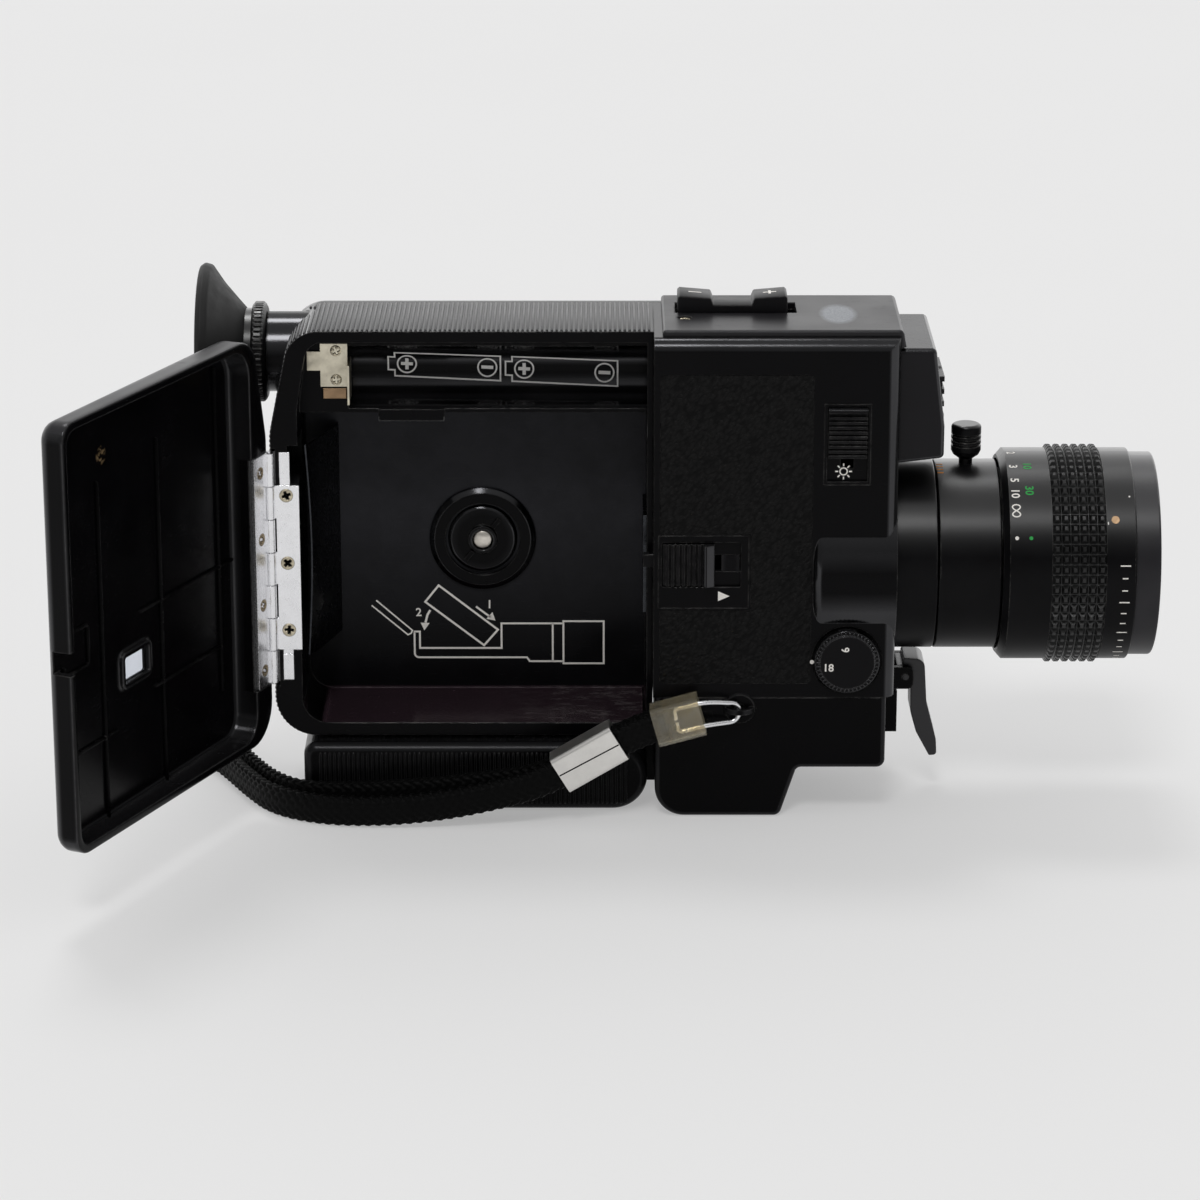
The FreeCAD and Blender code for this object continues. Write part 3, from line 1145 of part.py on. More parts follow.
def make_door_leaf(inside, side, screw_x):
    bottom, long = s.hinge_bottom, s.knuckle_length
    plate = (door_rim - s.leaf_thick, door_rim)
    bore = rod("door_leaf_bore", "Z", pin_axis, s.pin_radius + s.running_gap, bottom - over,
               hinge_top + over)
    leaf = block("door_leaf_plate", (inside, side), plate, (bottom, hinge_top))
    arms = [block(f"door_leaf_arm_{n}", (pin_axis[0], inside + 0.2), plate, knuckle_span(n))
            for n in DOOR_KNUCKLES]
    solid = fuse("door_leaf_solid", [leaf] + arms + knuckles("door", DOOR_KNUCKLES))
    heights = [bottom + long * turns for turns in DOOR_SCREWS]
    sunk = door_rim - 0.2
    seats = [rod(f"door_screw_seat_{n}", "Y", (screw_x, height), s.door_screw, sunk, door_rim + over)
             for n, height in enumerate(heights, start=1)]
    node(swing(cut("hinge_door_leaf", solid, [bore] + seats)), "hinge_door_leaf")
    heads = [rod(f"door_screw_{n}", "Y", (screw_x, height), s.door_screw, sunk, door_rim + s.running_gap)
             for n, height in enumerate(heights, start=1)]
    node(swing(group("door_screws", heads)), "door_screws")


def make_door():
    """A shallow tray with stiffening ribs, a film window and the catch's pocket."""
    front = section - s.door_gap
    wall = s.door_skin
    floor = near + wall
    shell = prism("door_shell_solid", "XZ", side_outline(0, front), near, door_rim)
    soften(shell, 1.5, lambda e: on(e, y=near) and not on(e, x=front))
    back = rear + s.leaf_width + 2.2
    low, high = s.body_floor + wall, s.body_top - wall
    hollow = prism("door_hollow", "XZ",
                   [(back, low, 5), (front - wall, low, 2), (front - wall, high, 2), (back, high, 6)],
                   floor, door_rim + over)
    tray = cut("door_open_shell", shell, [hollow])
    solid = fuse("door_filled", [tray] + door_ribs(floor, back, front))
    window = (-s.window_back, -s.window_back + s.window_wide)
    tall = (s.window_bottom, s.window_bottom + s.window_high)
    hole = block("window_hole", window, (near - over, floor + 3), tall)
    seat = block("door_leaf_seat", (rear - over, rear + s.leaf_inset + s.leaf_width + 0.1),
                 (door_rim - s.leaf_thick, door_rim + over), (s.hinge_bottom - 0.1, hinge_top + 0.1))
    slot = block("catch_slot", (front - 3.2, front + over), (floor, door_rim + over),
                 about(latch_middle, 2.6))
    node(swing(cut("door_shell", solid, [hole, pin_groove("door_pin_groove"), seat, slot])), "door_shell")
    pane = block("door_pane", window, (near + 0.4, floor), tall)
    node(swing(common("door_window", [pane])), "door_window")


def door_ribs(floor, back, front):
    """Upright and cross ribs on the tray's floor, a frame round the window and the pocket's walls."""
    thick = s.rib_thick
    root_level = floor - 0.2
    ribs = []
    uprights = [(front - 20.3, s.body_floor + 1, knee_height + 7),
                (front - 46.7, s.body_floor + 1, knee_height + 10),
                (front - 74, s.body_floor + 15, s.body_top - 5)]
    for n, (place, low, high) in enumerate(uprights, start=1):
        ribs.append(block(f"door_rib_{n}", (place - thick, place), (root_level, floor + 0.7), (low, high)))
    crossings = [(back - 0.2, front - 37.5, knee_height - 28), (back + 7, front - 43, knee_height - 47.5),
                 (front - 26, front - 8, knee_height - 52.5)]
    for n, (start, end, level) in enumerate(crossings, start=1):
        ribs.append(block(f"door_cross_rib_{n}", (start, end), (root_level, floor + 0.6),
                          (level - thick, level)))
    margin = 1.4
    left, right = -s.window_back - margin, -s.window_back + s.window_wide + margin
    ribs.append(block("window_frame", (left, right), (root_level, floor + 1),
                      (s.window_bottom - margin, s.window_bottom + s.window_high + margin)))
    outside = block("catch_block", (front - 15, front - 0.5), (root_level, floor + 2), about(latch_middle, 5))
    pocket = block("catch_pocket", (front - 14, front - 4), (floor + 0.4, floor + 3), about(latch_middle, 4))
    ribs.append(cut("catch_wall", outside, [pocket]))
    return ribs


# Wrist strap: a flat woven band standing on its edge, from its sleeve round the loop and back
STRAP_ROUTE = [
    (-12.5, -27.6, 25.3), (-20.5, -27.7, 23.1), (-40.5, -28.0, 11.1), (-53.0, -28.9, 7.9),
    (-66.0, -29.4, 5.4), (-80.0, -29.2, 4.0), (-94.0, -27.8, 3.8), (-106.0, -21.0, 3.8),
    (-112.8, -9.0, 3.8), (-118.8, 4.0, 3.8), (-125.5, 16.0, 3.8), (-134.0, 26.0, 3.8),
    (-138.5, 37.0, 3.8), (-131.0, 44.5, 3.8), (-122.5, 38.5, 3.8), (-121.0, 27.0, 3.8),
    (-117.5, 13.0, 3.8), (-111.8, -0.5, 3.9), (-106.0, -12.8, 4.4), (-98.0, -21.6, 5.0),
    (-82.5, -23.6, 5.9), (-67.0, -24.4, 7.2), (-53.0, -24.8, 9.2), (-40.5, -25.2, 11.1),
    (-20.5, -25.0, 23.1), (-12.5, -24.9, 25.3),
]
LINK_ROUTE = [
    (-9.5, -26.2, 22.9), (-3.5, -25.9, 24.4), (4.6, -23.7, 24.8), (5.0, -23.7, 29.2),
    (-3.0, -25.9, 30.4), (-10.7, -26.2, 28.7),
]


def cord_path(spots):
    """Straight runs joined by the largest arcs that the runs allow."""
    edges = []
    radii = []
    start = spots[0]
    for before, here, after in zip(spots, spots[1:], spots[2:]):
        way_in, way_out = here - before, after - here
        trim = 0.45 * min(way_in.Length, way_out.Length)
        turn = way_in.getAngle(way_out)
        radii.append(trim / math.tan(turn / 2))
        way_in.normalize()
        way_out.normalize()
        first, last = here - way_in * trim, here + way_out * trim
        depth = radii[-1] / math.cos(turn / 2) - radii[-1]
        edges.append(Part.LineSegment(start, first).toShape())
        edges.append(Part.Arc(first, here + (way_out - way_in).normalize() * depth, last).toShape())
        start = last
    edges.append(Part.LineSegment(start, spots[-1]).toShape())
    print("bend radii:", " ".join(f"{radius:.1f}" for radius in radii))
    return Part.Wire(edges)


def shaped(name, shape):
    feature = doc.addObject("Part::Feature", name)
    feature.Shape = shape
    return node(feature, name)


def make_strap():
    wide, thick = s.strap_wide.value, s.strap_thick.value
    spots = [Vector(*spot) for spot in STRAP_ROUTE]
    path = cord_path(spots)
    way = (spots[1] - spots[0]).normalize()
    across = Vector(-way.y, way.x, 0).normalize() * (thick / 2)
    up = way.cross(across).normalize() * (wide / 2)
    if up.z < 0:
        up = up * -1
    start = spots[0]
    outline = Part.makePolygon([start - across - up, start + across - up, start + across + up,
                                start - across + up, start - across - up])
    band = path.makePipeShell([outline], True, False)
    section_length = band.Volume / (wide * thick)
    print("strap length", round(path.Length, 1), "volume over section", round(section_length, 1))
    shaped("strap_loop", band)
    # the clamp grips both strands half way down their first long run, the sleeve covers both ends
    clamp_centre = (spots[1] + spots[2] + spots[-2] + spots[-3]) / 4
    down = spots[1] - spots[2]
    clamp_tilt = math.degrees(math.atan2(down.z, down.x))
    sleeve_centre = (spots[0] + spots[-1]) / 2 - way * 3
    sleeve_tilt = math.degrees(math.atan2(-way.z, -way.x))
    node(band_tube("strap_clamp", clamp_centre, clamp_tilt, 16.2), "strap_clamp")
    node(band_tube("strap_sleeve", sleeve_centre, sleeve_tilt, 11.5), "strap_sleeve")
    link = [Vector(*spot) for spot in LINK_ROUTE]
    # the wire's two ends face each other inside the sleeve
    middle = (link[0] + link[-1]) / 2
    half_gap = (link[0] - middle).normalize() * 0.3
    bend = cord_path([middle + half_gap] + link + [middle - half_gap])
    ring = Part.Wire(Part.makeCircle(s.wire_radius.value, middle + half_gap, half_gap))
    shaped("strap_link", bend.makePipeShell([ring], True, False))
    make_eyelet()


def band_tube(name, centre, tilt, length):
    """A rounded rectangular tube round both strands, raised towards its front end."""
    high = (s.strap_wide + 0.7) / 2
    deep = (2 * s.strap_thick + 0.9) / 2
    rings = []
    for part_name, wall, past in ((f"{name}_outer", s.strap_wall, 0), (f"{name}_inner", 0, over)):
        up, out = high + wall, deep + wall
        corner = sized(wall) + 0.4
        rings.append(prism(part_name, "YZ", [(-out, -up, corner), (out, -up, corner), (out, up, corner),
                                             (-out, up, corner)], -length / 2 - past, length / 2 + past))
    tube = cut(name, rings[0], [rings[1]])
    tube.Placement = FreeCAD.Placement(centre, FreeCAD.Rotation(Vector(0, -1, 0), tilt))
    return tube


def make_eyelet():
    """A collar on the side wall and the half ring that the link goes through."""
    x, z = s.eyelet_ahead, s.eyelet_height
    lift, half = 0.8, s.wire_radius
    collar = turned("eyelet_collar", "Y", (x, z),
                    [(near - lift, 1.2), (near, 1.2), (near, 3.9), (near - lift, 3.5)])
    bow = turned("eyelet_ring", "Z", (x, near - 0.2),
                 [(z - half, 2.3), (z + half, 2.3), (z + half, 3.5), (z - half, 3.5)])
    front = block("eyelet_front", about(x, 5), (near - 5, near), about(z, 5))
    node(fuse("strap_eyelet", [collar, common("eyelet_bow", [bow, front])]), "strap_eyelet")


make_chamber_body()
make_left_cover()
make_front_housing()
make_panels()
make_bottom_block()
make_grip()
make_trigger()
make_top()
make_nose()
make_latch()
make_switch()
make_dial()
make_lens()
make_eyepiece()
make_bay_parts()
make_drive()
make_works()
make_hinge()
make_door()
make_strap()

doc.recompute()
for feature in doc.Objects:
    if "Invalid" in feature.State or "Error" in feature.State:
        raise SystemExit(f"{feature.Name} could not be built: {feature.State}")
for feature in NODES:
    if feature.Shape.isNull() or not feature.Shape.isValid():
        raise SystemExit(f"{feature.Label} has no valid shape")
os.makedirs("parts", exist_ok=True)
for feature in NODES:
    feature.Shape.exportStep(f"parts/{feature.Label}.step")
print(len(NODES), "pieces written")
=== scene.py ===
import json
import math

import bmesh
import bpy
import numpy as np
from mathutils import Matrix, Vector

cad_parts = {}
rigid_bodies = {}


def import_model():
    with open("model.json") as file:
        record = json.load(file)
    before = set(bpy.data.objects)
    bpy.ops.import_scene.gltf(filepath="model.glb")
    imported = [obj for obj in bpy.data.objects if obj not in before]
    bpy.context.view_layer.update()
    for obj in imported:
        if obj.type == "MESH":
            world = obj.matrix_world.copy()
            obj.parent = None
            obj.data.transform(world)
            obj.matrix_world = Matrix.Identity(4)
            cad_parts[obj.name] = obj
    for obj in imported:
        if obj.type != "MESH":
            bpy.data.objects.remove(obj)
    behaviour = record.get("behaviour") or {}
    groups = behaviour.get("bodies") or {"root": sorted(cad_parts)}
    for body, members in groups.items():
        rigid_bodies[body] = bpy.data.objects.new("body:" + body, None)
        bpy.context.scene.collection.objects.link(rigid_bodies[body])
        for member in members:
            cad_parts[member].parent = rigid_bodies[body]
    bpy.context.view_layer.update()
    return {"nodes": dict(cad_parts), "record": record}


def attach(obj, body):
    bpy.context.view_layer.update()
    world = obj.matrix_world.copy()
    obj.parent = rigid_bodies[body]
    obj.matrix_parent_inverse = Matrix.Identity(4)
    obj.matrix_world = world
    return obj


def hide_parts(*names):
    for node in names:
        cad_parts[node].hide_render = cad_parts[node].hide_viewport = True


# A zoom movie camera for film cartridges, its film door open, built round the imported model.
# Lengths in the dictionaries are millimetres in the camera's own frame: lens towards +X,
# film door towards -Y, Z up from the table.

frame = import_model()
nodes = frame["nodes"]
mm = 0.001
print("frame loaded:", len(nodes), "nodes")


def placed(name, data):
    # an object of that name and data, in the scene
    made = bpy.data.objects.new(name, data)
    bpy.context.scene.collection.objects.link(made)
    return made


# Camera: it looks down at the open bay from the near side
view = {"aim": (-28.0, 0.0, 47.1), "distance": 1031.0, "elevation": 18.0, "lens": 129.0, "sensor": 36.0,
        "clip": (0.05, 50)}


def makeCamera(v):
    up = math.radians(v["elevation"])
    back = Vector((0, -math.cos(up), math.sin(up)))
    data = bpy.data.cameras.new("view")
    data.lens = v["lens"]
    data.sensor_width = v["sensor"]
    data.clip_start, data.clip_end = v["clip"]
    camera = placed("view", data)
    camera.location = (Vector(v["aim"]) + back * v["distance"]) * mm
    camera.rotation_mode = "QUATERNION"
    camera.rotation_quaternion = (-back).to_track_quat("-Z", "Y")
    bpy.context.scene.camera = camera


makeCamera(view)


# Shader wiring
class Wire:
    # one output socket of a node tree; sums and products with it add Math nodes
    def __init__(self, tree, socket=None):
        self.tree = tree
        self.socket = socket

    def node(self, kind, settings=None, values=None, out=0):
        # any node: its settings are set first, then its sockets get values or links
        made = self.tree.nodes.new("ShaderNode" + kind)
        for key, value in (settings or {}).items():
            setattr(made, key, value)
        for key, value in (values or {}).items():
            if isinstance(value, Wire):
                self.tree.links.new(value.socket, made.inputs[key])
            else:
                made.inputs[key].default_value = value
        return Wire(self.tree, made.outputs[out])

    def math(self, operation, *values):
        return self.node("Math", {"operation": operation}, dict(enumerate((self, *values))))

    def vector(self, operation, *values, out=0):
        return self.node("VectorMath", {"operation": operation}, dict(enumerate((self, *values))), out)

    def __add__(self, other):
        return self.math("ADD", other)

    def __sub__(self, other):
        return self.math("SUBTRACT", other)

    def __rsub__(self, other):
        return self.node("Math", {"operation": "SUBTRACT"}, {0: other, 1: self})

    def __mul__(self, other):
        return self.math("MULTIPLY", other)

    __rmul__ = __mul__

    def fade(self, low, high, start=0.0, end=1.0):
        # start where the value is low, end where it is high, and a straight line between
        return self.node("MapRange", {"clamp": True}, {0: self, 1: low, 2: high, 3: start, 4: end})

    def mixed(self, first, second):
        # one colour where this mask is 0, the other where it is 1
        return self.node("Mix", {"data_type": "RGBA"}, {0: self, 6: first, 7: second}, out=2)

    def part(self, axis):
        # one number of a vector
        return self.node("SeparateXYZ", None, {0: self}, out=axis)


def tint(shade, red=0.0, blue=0.0):
    # a grey of that brightness, leaning to red or blue by a share of it
    return (shade * (1 + red), shade, shade * (1 + blue), 1)


class Finish:
    # a material being made: its nodes, object coordinates in millimetres and principled shader
    def __init__(self, name, **plain):
        self.material = bpy.data.materials.new(name)
        self.material.use_nodes = True
        self.tree = self.material.node_tree
        self.tree.nodes.clear()
        self.root = Wire(self.tree)
        self.shader = self.tree.nodes.new("ShaderNodeBsdfPrincipled")
        self.exit = self.tree.nodes.new("ShaderNodeOutputMaterial")
        self.tree.links.new(self.shader.outputs[0], self.exit.inputs["Surface"])
        for key, value in plain.items():
            self.set(key, value)
        raw = self.root.node("TexCoord", out=3)
        self.place = raw.vector("MULTIPLY", (1 / mm,) * 3)

    def set(self, socket, value):
        target = self.shader.inputs[socket.replace("_", " ")]
        if isinstance(value, Wire):
            self.tree.links.new(value.socket, target)
        else:
            target.default_value = value

    def stretched(self, x, y, z):
        # the place with each axis scaled
        return self.place.vector("MULTIPLY", (x, y, z))

    def noise(self, scale, detail=2.0, rough=0.5, place=None):
        values = {"Vector": place or self.place, "Scale": scale, "Detail": detail, "Roughness": rough}
        return self.root.node("TexNoise", None, values)

    def rounded(self, radius):
        return self.root.node("Bevel", {"samples": 4}, {"Radius": radius * mm})

    def edges(self, radius):
        # 1 along sharp edges, where the rounded normal leans away from the face's own
        face = self.root.node("NewGeometry", out=1)
        return self.rounded(radius).vector("DOT_PRODUCT", face, out=1).fade(0.8, 0.98, 1.0, 0.0)

    def relief(self, height, depth, rounding=0.0):
        # bump of that depth in millimetres over edges rounded by the shader
        values = {"Height": height, "Strength": 1.0, "Distance": depth * mm}
        if rounding:
            values["Normal"] = self.rounded(rounding)
        self.set("Normal", self.root.node("Bump", None, values))

    def facing(self, turn=0.0):
        # the way a face looks, on a piece turned back by that many degrees about the upright
        normal = self.root.node("TexCoord", out=1)
        if turn:
            normal = self.root.node("VectorRotate", {"rotation_type": "Z_AXIS"},
                                    {"Vector": normal, "Angle": math.radians(turn)})
        return normal

    def slanted(self, turn=0.0):
        # 0 on faces square to the axes, 1 on slanted and rounded ones, in between on level tops
        normal = self.facing(turn)
        size = normal.vector("ABSOLUTE")
        most = size.part(0).math("MAXIMUM", size.part(1)).math("MAXIMUM", size.part(2))
        return most.fade(0.95, 0.995, 1.0, 0.0) + normal.part(2).fade(0.99, 0.999, 0.0, 0.4)

    def within(self, low, high, soft=0.2):
        # 1 inside a box of places, fading to 0 over soft millimetres outside it
        mask = 1.0
        for axis, (a, b) in enumerate(zip(low, high)):
            p = self.place.part(axis)
            mask = mask * (p.fade(a - soft, a) * p.fade(b, b + soft, 1.0, 0.0))
        return mask

    def base(self):
        # the colour set so far, to be mixed further
        return Wire(self.tree, self.shader.inputs["Base Color"].links[0].from_socket)

    def spot(self, centre, radius, soft):
        # 1 within the radius of a place, fading to 0 over soft millimetres
        return self.place.vector("DISTANCE", centre, out=1).fade(radius, radius + soft, 1.0, 0.0)


print("shader tools ready")


# Mesh tools
def turnOutwards(mesh, weld=None):
    # faces turned outwards, after points nearer than weld have become one
    work = bmesh.new()
    work.from_mesh(mesh)
    if weld:
        bmesh.ops.remove_doubles(work, verts=work.verts, dist=weld)
    bmesh.ops.recalc_face_normals(work, faces=work.faces)
    work.to_mesh(mesh)
    work.free()


def addPiece(name, points, faces, body, finish, slot, smooth=True, uv=None):
    # points in millimetres, one row each; closed shells get their faces turned outwards
    mesh = bpy.data.meshes.new(name)
    mesh.from_pydata((np.asarray(points, float).reshape(-1, 3) * mm).tolist(), [],
                     [list(face) for face in faces])
    if uv is not None:
        corners = np.empty(len(mesh.loops), np.int32)
        mesh.loops.foreach_get("vertex_index", corners)
        layer = mesh.uv_layers.new(name="path")
        layer.data.foreach_set("uv", np.asarray(uv, np.float32)[corners].ravel())
    turnOutwards(mesh)
    mesh.polygons.foreach_set("use_smooth", np.full(len(mesh.polygons), smooth))
    mesh.materials.append(finishes[finish])
    mesh.update()
    piece = placed(name, mesh)
    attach(piece, body)
    return piece


def sharpen(piece, angle=40):
    piece.data.set_sharp_from_angle(angle=math.radians(angle))


def secondFinish(piece, finish, chosen):
    # the chosen faces, one truth value each, take another finish
    piece.data.materials.append(finishes[finish])
    piece.data.polygons.foreach_set("material_index", np.asarray(chosen).astype(np.int32).ravel())


def gridFaces(rows, columns, wrapRows=False, wrapColumns=False):
    # quads between neighbours of a grid whose points are laid row after row
    r = np.arange(rows if wrapRows else rows - 1)[:, None]
    c = np.arange(columns if wrapColumns else columns - 1)[None, :]
    below, beside = (r + 1) % rows, (c + 1) % columns
    corners = [r * columns + c, r * columns + beside, below * columns + beside, below * columns + c]
    return np.stack(np.broadcast_arrays(*corners), -1).reshape(-1, 4)


def repeated(points, faces):
    # the same faces for every copy of a small shape; points are (copies, corners, 3)
    copies, corners = points.shape[:2]
    steps = np.arange(copies) * corners
    listed = []
    for face in faces:
        listed.extend((np.asarray(face)[None, :] + steps[:, None]).tolist())
    return points.reshape(-1, 3), listed


def barFaces(rows, columns):
    # a tube of rows rings with columns corners each, closed by a face at both ends
    faces = [list(face) for face in gridFaces(rows, columns, wrapColumns=True)]
    faces.append(list(range(columns)))
    faces.append([(rows - 1) * columns + n for n in range(columns)])
    return faces


print("mesh tools ready")

# Wrist strap: a flat braided band on its edge, from its sleeve round the loop and back
strap = {
    "route": [
        (-0.0125, -0.0276, 0.0253), (-0.0205, -0.0277, 0.0231), (-0.0405, -0.0280, 0.0111),
        (-0.0530, -0.0289, 0.0079), (-0.0660, -0.0294, 0.0054), (-0.0800, -0.0292, 0.0040),
        (-0.0940, -0.0278, 0.0038), (-0.1060, -0.0210, 0.0038), (-0.1128, -0.0090, 0.0038),
        (-0.1188, 0.0040, 0.0038), (-0.1255, 0.0160, 0.0038), (-0.1340, 0.0260, 0.0038),
        (-0.1385, 0.0370, 0.0038), (-0.1310, 0.0445, 0.0038), (-0.1225, 0.0385, 0.0038),
        (-0.1210, 0.0270, 0.0038), (-0.1175, 0.0130, 0.0038), (-0.1118, -0.0005, 0.0039),
        (-0.1060, -0.0128, 0.0044), (-0.0980, -0.0216, 0.0050), (-0.0825, -0.0236, 0.0059),
        (-0.0670, -0.0244, 0.0072), (-0.0530, -0.0248, 0.0092), (-0.0405, -0.0252, 0.0111),
        (-0.0205, -0.0250, 0.0231), (-0.0125, -0.0249, 0.0253),
    ],
    "wide": 6.8, "thick": 2.2, "length": 0.3387, "diameter": 0.0072, "exit": (-0.0125, -0.0262, 0.0253),
    "pitch": 2.4, "relief": 0.55, "hem": 0.8, "along": 1500, "around": 48,
}


def meshed(name, curve):
    # the points and faces of a curve's or a text's mesh
    holder = placed(name, curve)
    bpy.context.view_layer.update()
    mesh = bpy.data.meshes.new_from_object(holder)
    points = np.empty(len(mesh.vertices) * 3)
    mesh.vertices.foreach_get("co", points)
    faces = [list(face.vertices) for face in mesh.polygons]
    for thing, store in ((holder, bpy.data.objects), (curve, bpy.data.curves), (mesh, bpy.data.meshes)):
        store.remove(thing)
    return points.reshape(-1, 3), faces


def splinePoints(name, route, steps):
    # points along a NURBS spline through the route's control points, in metres
    curve = bpy.data.curves.new(name, "CURVE")
    curve.dimensions = "3D"
    curve.resolution_u = steps
    spline = curve.splines.new("NURBS")
    spline.points.add(len(route) - 1)
    for point, spot in zip(spline.points, route):
        point.co = (*spot, 1)
    spline.order_u = 3
    spline.use_endpoint_u = True
    return meshed(name, curve)[0]


def evenly(points, count):
    # the same line with evenly spaced points, and the distance along it
    steps = np.linalg.norm(np.diff(points, axis=0), axis=1)
    along = np.concatenate([[0], np.cumsum(steps)])
    wanted = np.linspace(0, along[-1], count)
    return np.stack([np.interp(wanted, along, points[:, n]) for n in range(3)], -1), wanted


def unit(vectors):
    return vectors / np.linalg.norm(vectors, axis=-1, keepdims=True)


def bandFrames(points):
    # the ways across the line in the floor's plane and up the band's width
    way = unit(np.gradient(points, axis=0))
    across = unit(np.cross(way, (0, 0, 1)))
    return across, np.cross(across, way)


def braid(along, around, s):
    # Two sets of plaits at 45 degrees, one over the other by turns: each plait is a rounded
    # ridge, cos of the distance from its middle, and the higher of the two shows
    p = s["pitch"]
    one, two = (along + around) / p, (along - around) / p
    over = np.cos(math.pi * (one - two))
    first = np.abs(np.cos(math.pi * one)) ** 0.7 * (0.65 + 0.35 * over)
    second = np.abs(np.cos(math.pi * two)) ** 0.7 * (0.65 - 0.35 * over)
    return np.maximum(first, second) - 0.55


def makeStrap(s):
    path = splinePoints("strap_path", s["route"], 24)
    path = path[np.append(True, np.linalg.norm(np.diff(path, axis=0), axis=1) > 0.01 * mm)]
    line, along = evenly(path / mm, s["along"])
    across, up = bandFrames(line)
    angle = np.linspace(0, 2 * math.pi, s["around"], endpoint=False)
    # a flat oval: the cosine and the sine, each drawn out towards its ends by a power
    flat = np.sign(np.cos(angle)) * np.abs(np.cos(angle)) ** 0.55
    tall = np.sign(np.sin(angle)) * np.abs(np.sin(angle)) ** 0.75
    outX, outZ = flat * s["thick"] / 2, tall * s["wide"] / 2
    girth = np.concatenate([[0], np.cumsum(np.hypot(np.diff(outX), np.diff(outZ)))])
    normal = unit(np.stack([outX / (s["thick"] / 2) ** 2, outZ / (s["wide"] / 2) ** 2], -1))
    # the plaits stand out most along the band's two hems
    lift = s["relief"] * braid(along[:, None], girth[None, :], s)
    lift = lift * (1 + s["hem"] * np.abs(tall[None, :]) ** 4)
    sideways = outX[None, :] + lift * normal[None, :, 0]
    upwards = outZ[None, :] + lift * normal[None, :, 1]
    points = line[:, None] + across[:, None] * sideways[..., None] + up[:, None] * upwards[..., None]
    rows, columns = points.shape[:2]
    uv = np.stack(np.broadcast_arrays(along[:, None], girth[None, :]), -1).reshape(-1, 2) * 0.1
    piece = addPiece("strap_band", points, barFaces(rows, columns), "camera_body", "strap_weave",
                     "strap_weave", uv=uv)
    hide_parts("strap_loop")
    middle = [tuple(spot * mm) for spot in np.append(line[::15], line[-1:], 0)]


# Finishes
def plastic(name, shade=0.0018, rough=0.24, grain=0.004, gloss=0.07, wear=0.6, rounding=0.6, shine=1.0,
            turn=0.0):
    # Moulded black plastic: broad unevenness, fine grain, faint scuffs, pale worn edges made metal-like so
    # they glint (wear and a painted highlight),
    # and a painted highlight: a paler, metal-like colour on slanted and rounded faces and partly on level
    # tops
    f = Finish(name, Specular_IOR_Level=gloss)
    broad = f.noise(0.06, 3)
    fine = f.noise(5.0, 3, 0.6)
    scuff = f.noise(0.5, 5, 0.75, f.stretched(0.35, 1, 2.2)).fade(0.58, 0.75)
    # pale edge wear, also made metal-like below so it glints: wear and a painted highlight
    worn = f.edges(0.5) * f.noise(0.45, 4, 0.7).fade(0.35, 0.7) * wear
    base = broad.fade(0.3, 0.7).mixed(tint(shade * 0.8, 0.1, 0.25), tint(shade * 1.3, 0.1, 0.25))
    base = (scuff * 0.25).mixed(base, tint(shade * 3.5))
    # painted highlight: slanted, rounded and level top faces take a paler, metal-like colour
    painted_highlight = f.slanted(turn) * broad.fade(0.25, 0.6, 0.8, 1.0) * shine
    base = painted_highlight.mixed(base, tint(0.055, 0.0, 0.05))
    f.set("Base_Color", worn.mixed(base, tint(0.16, 0.03, -0.03)))
    f.set("Metallic", worn.math("MAXIMUM", painted_highlight))
    dull = broad.fade(0.3, 0.7, rough - 0.05, rough + 0.05) * (1 - painted_highlight * 0.6)
    f.set("Roughness", dull + scuff * 0.1 + fine * 0.04)
    f.relief(fine + broad * 0.6, grain, rounding)
    return f


bay = {"floor": ((-98.6, 10.9, 21.5), (-17.0, 12.2, 91.9)),
       "wall": ((-98.6, -13.6, 19.5), (-17.0, 11.4, 21.4)),
       "lip": ((-98.0, -14.1, 91.6), (-17.0, 9.0, 94.6)), "brown": (0.043, 0.026, 0.034, 1)}


def chamberBlack(name):
    # The rear housing: its film bay's floor a paler satin that fades darker towards its bottom (painted
    # shade), the bay's lower wall brownish purple (partly its own tone, partly a painted reflection) with
    # pale scratches at its front end, and a painted highlight along the battery trough's lip
    f = plastic(name)
    # darker towards the bottom of the bay floor: painted shade
    low = f.place.part(2).fade(34, 66, 0.12, 1.0)
    grime = f.noise(0.12, 4, 0.65).fade(0.35, 0.7, 0.75, 1.1)
    base = (f.within(*bay["floor"]) * low * grime).mixed(f.base(), tint(0.027, 0.0, 0.15))
    wall = f.within(*bay["wall"])
    # the bay's lower wall takes a brownish purple, partly its own tone and partly a painted reflection
    base = (wall * 0.95).mixed(base, bay["brown"])
    marks = f.noise(0.4, 6, 0.8, f.stretched(0.45, 1.2, 1)).fade(0.48, 0.74)
    marks = marks * f.place.part(0).fade(-60, -25) * wall
    base = (marks * 0.5).mixed(base, tint(0.30, 0.1, 0.0))
    # a paler line along the edges of the trough's lip: painted highlight
    lip = f.within(*bay["lip"]) * f.noise(0.6, 3).fade(0.35, 0.65, 0.4, 1.0)
    f.set("Base_Color", (lip * f.edges(0.6)).mixed(base, tint(0.22)))
    return f


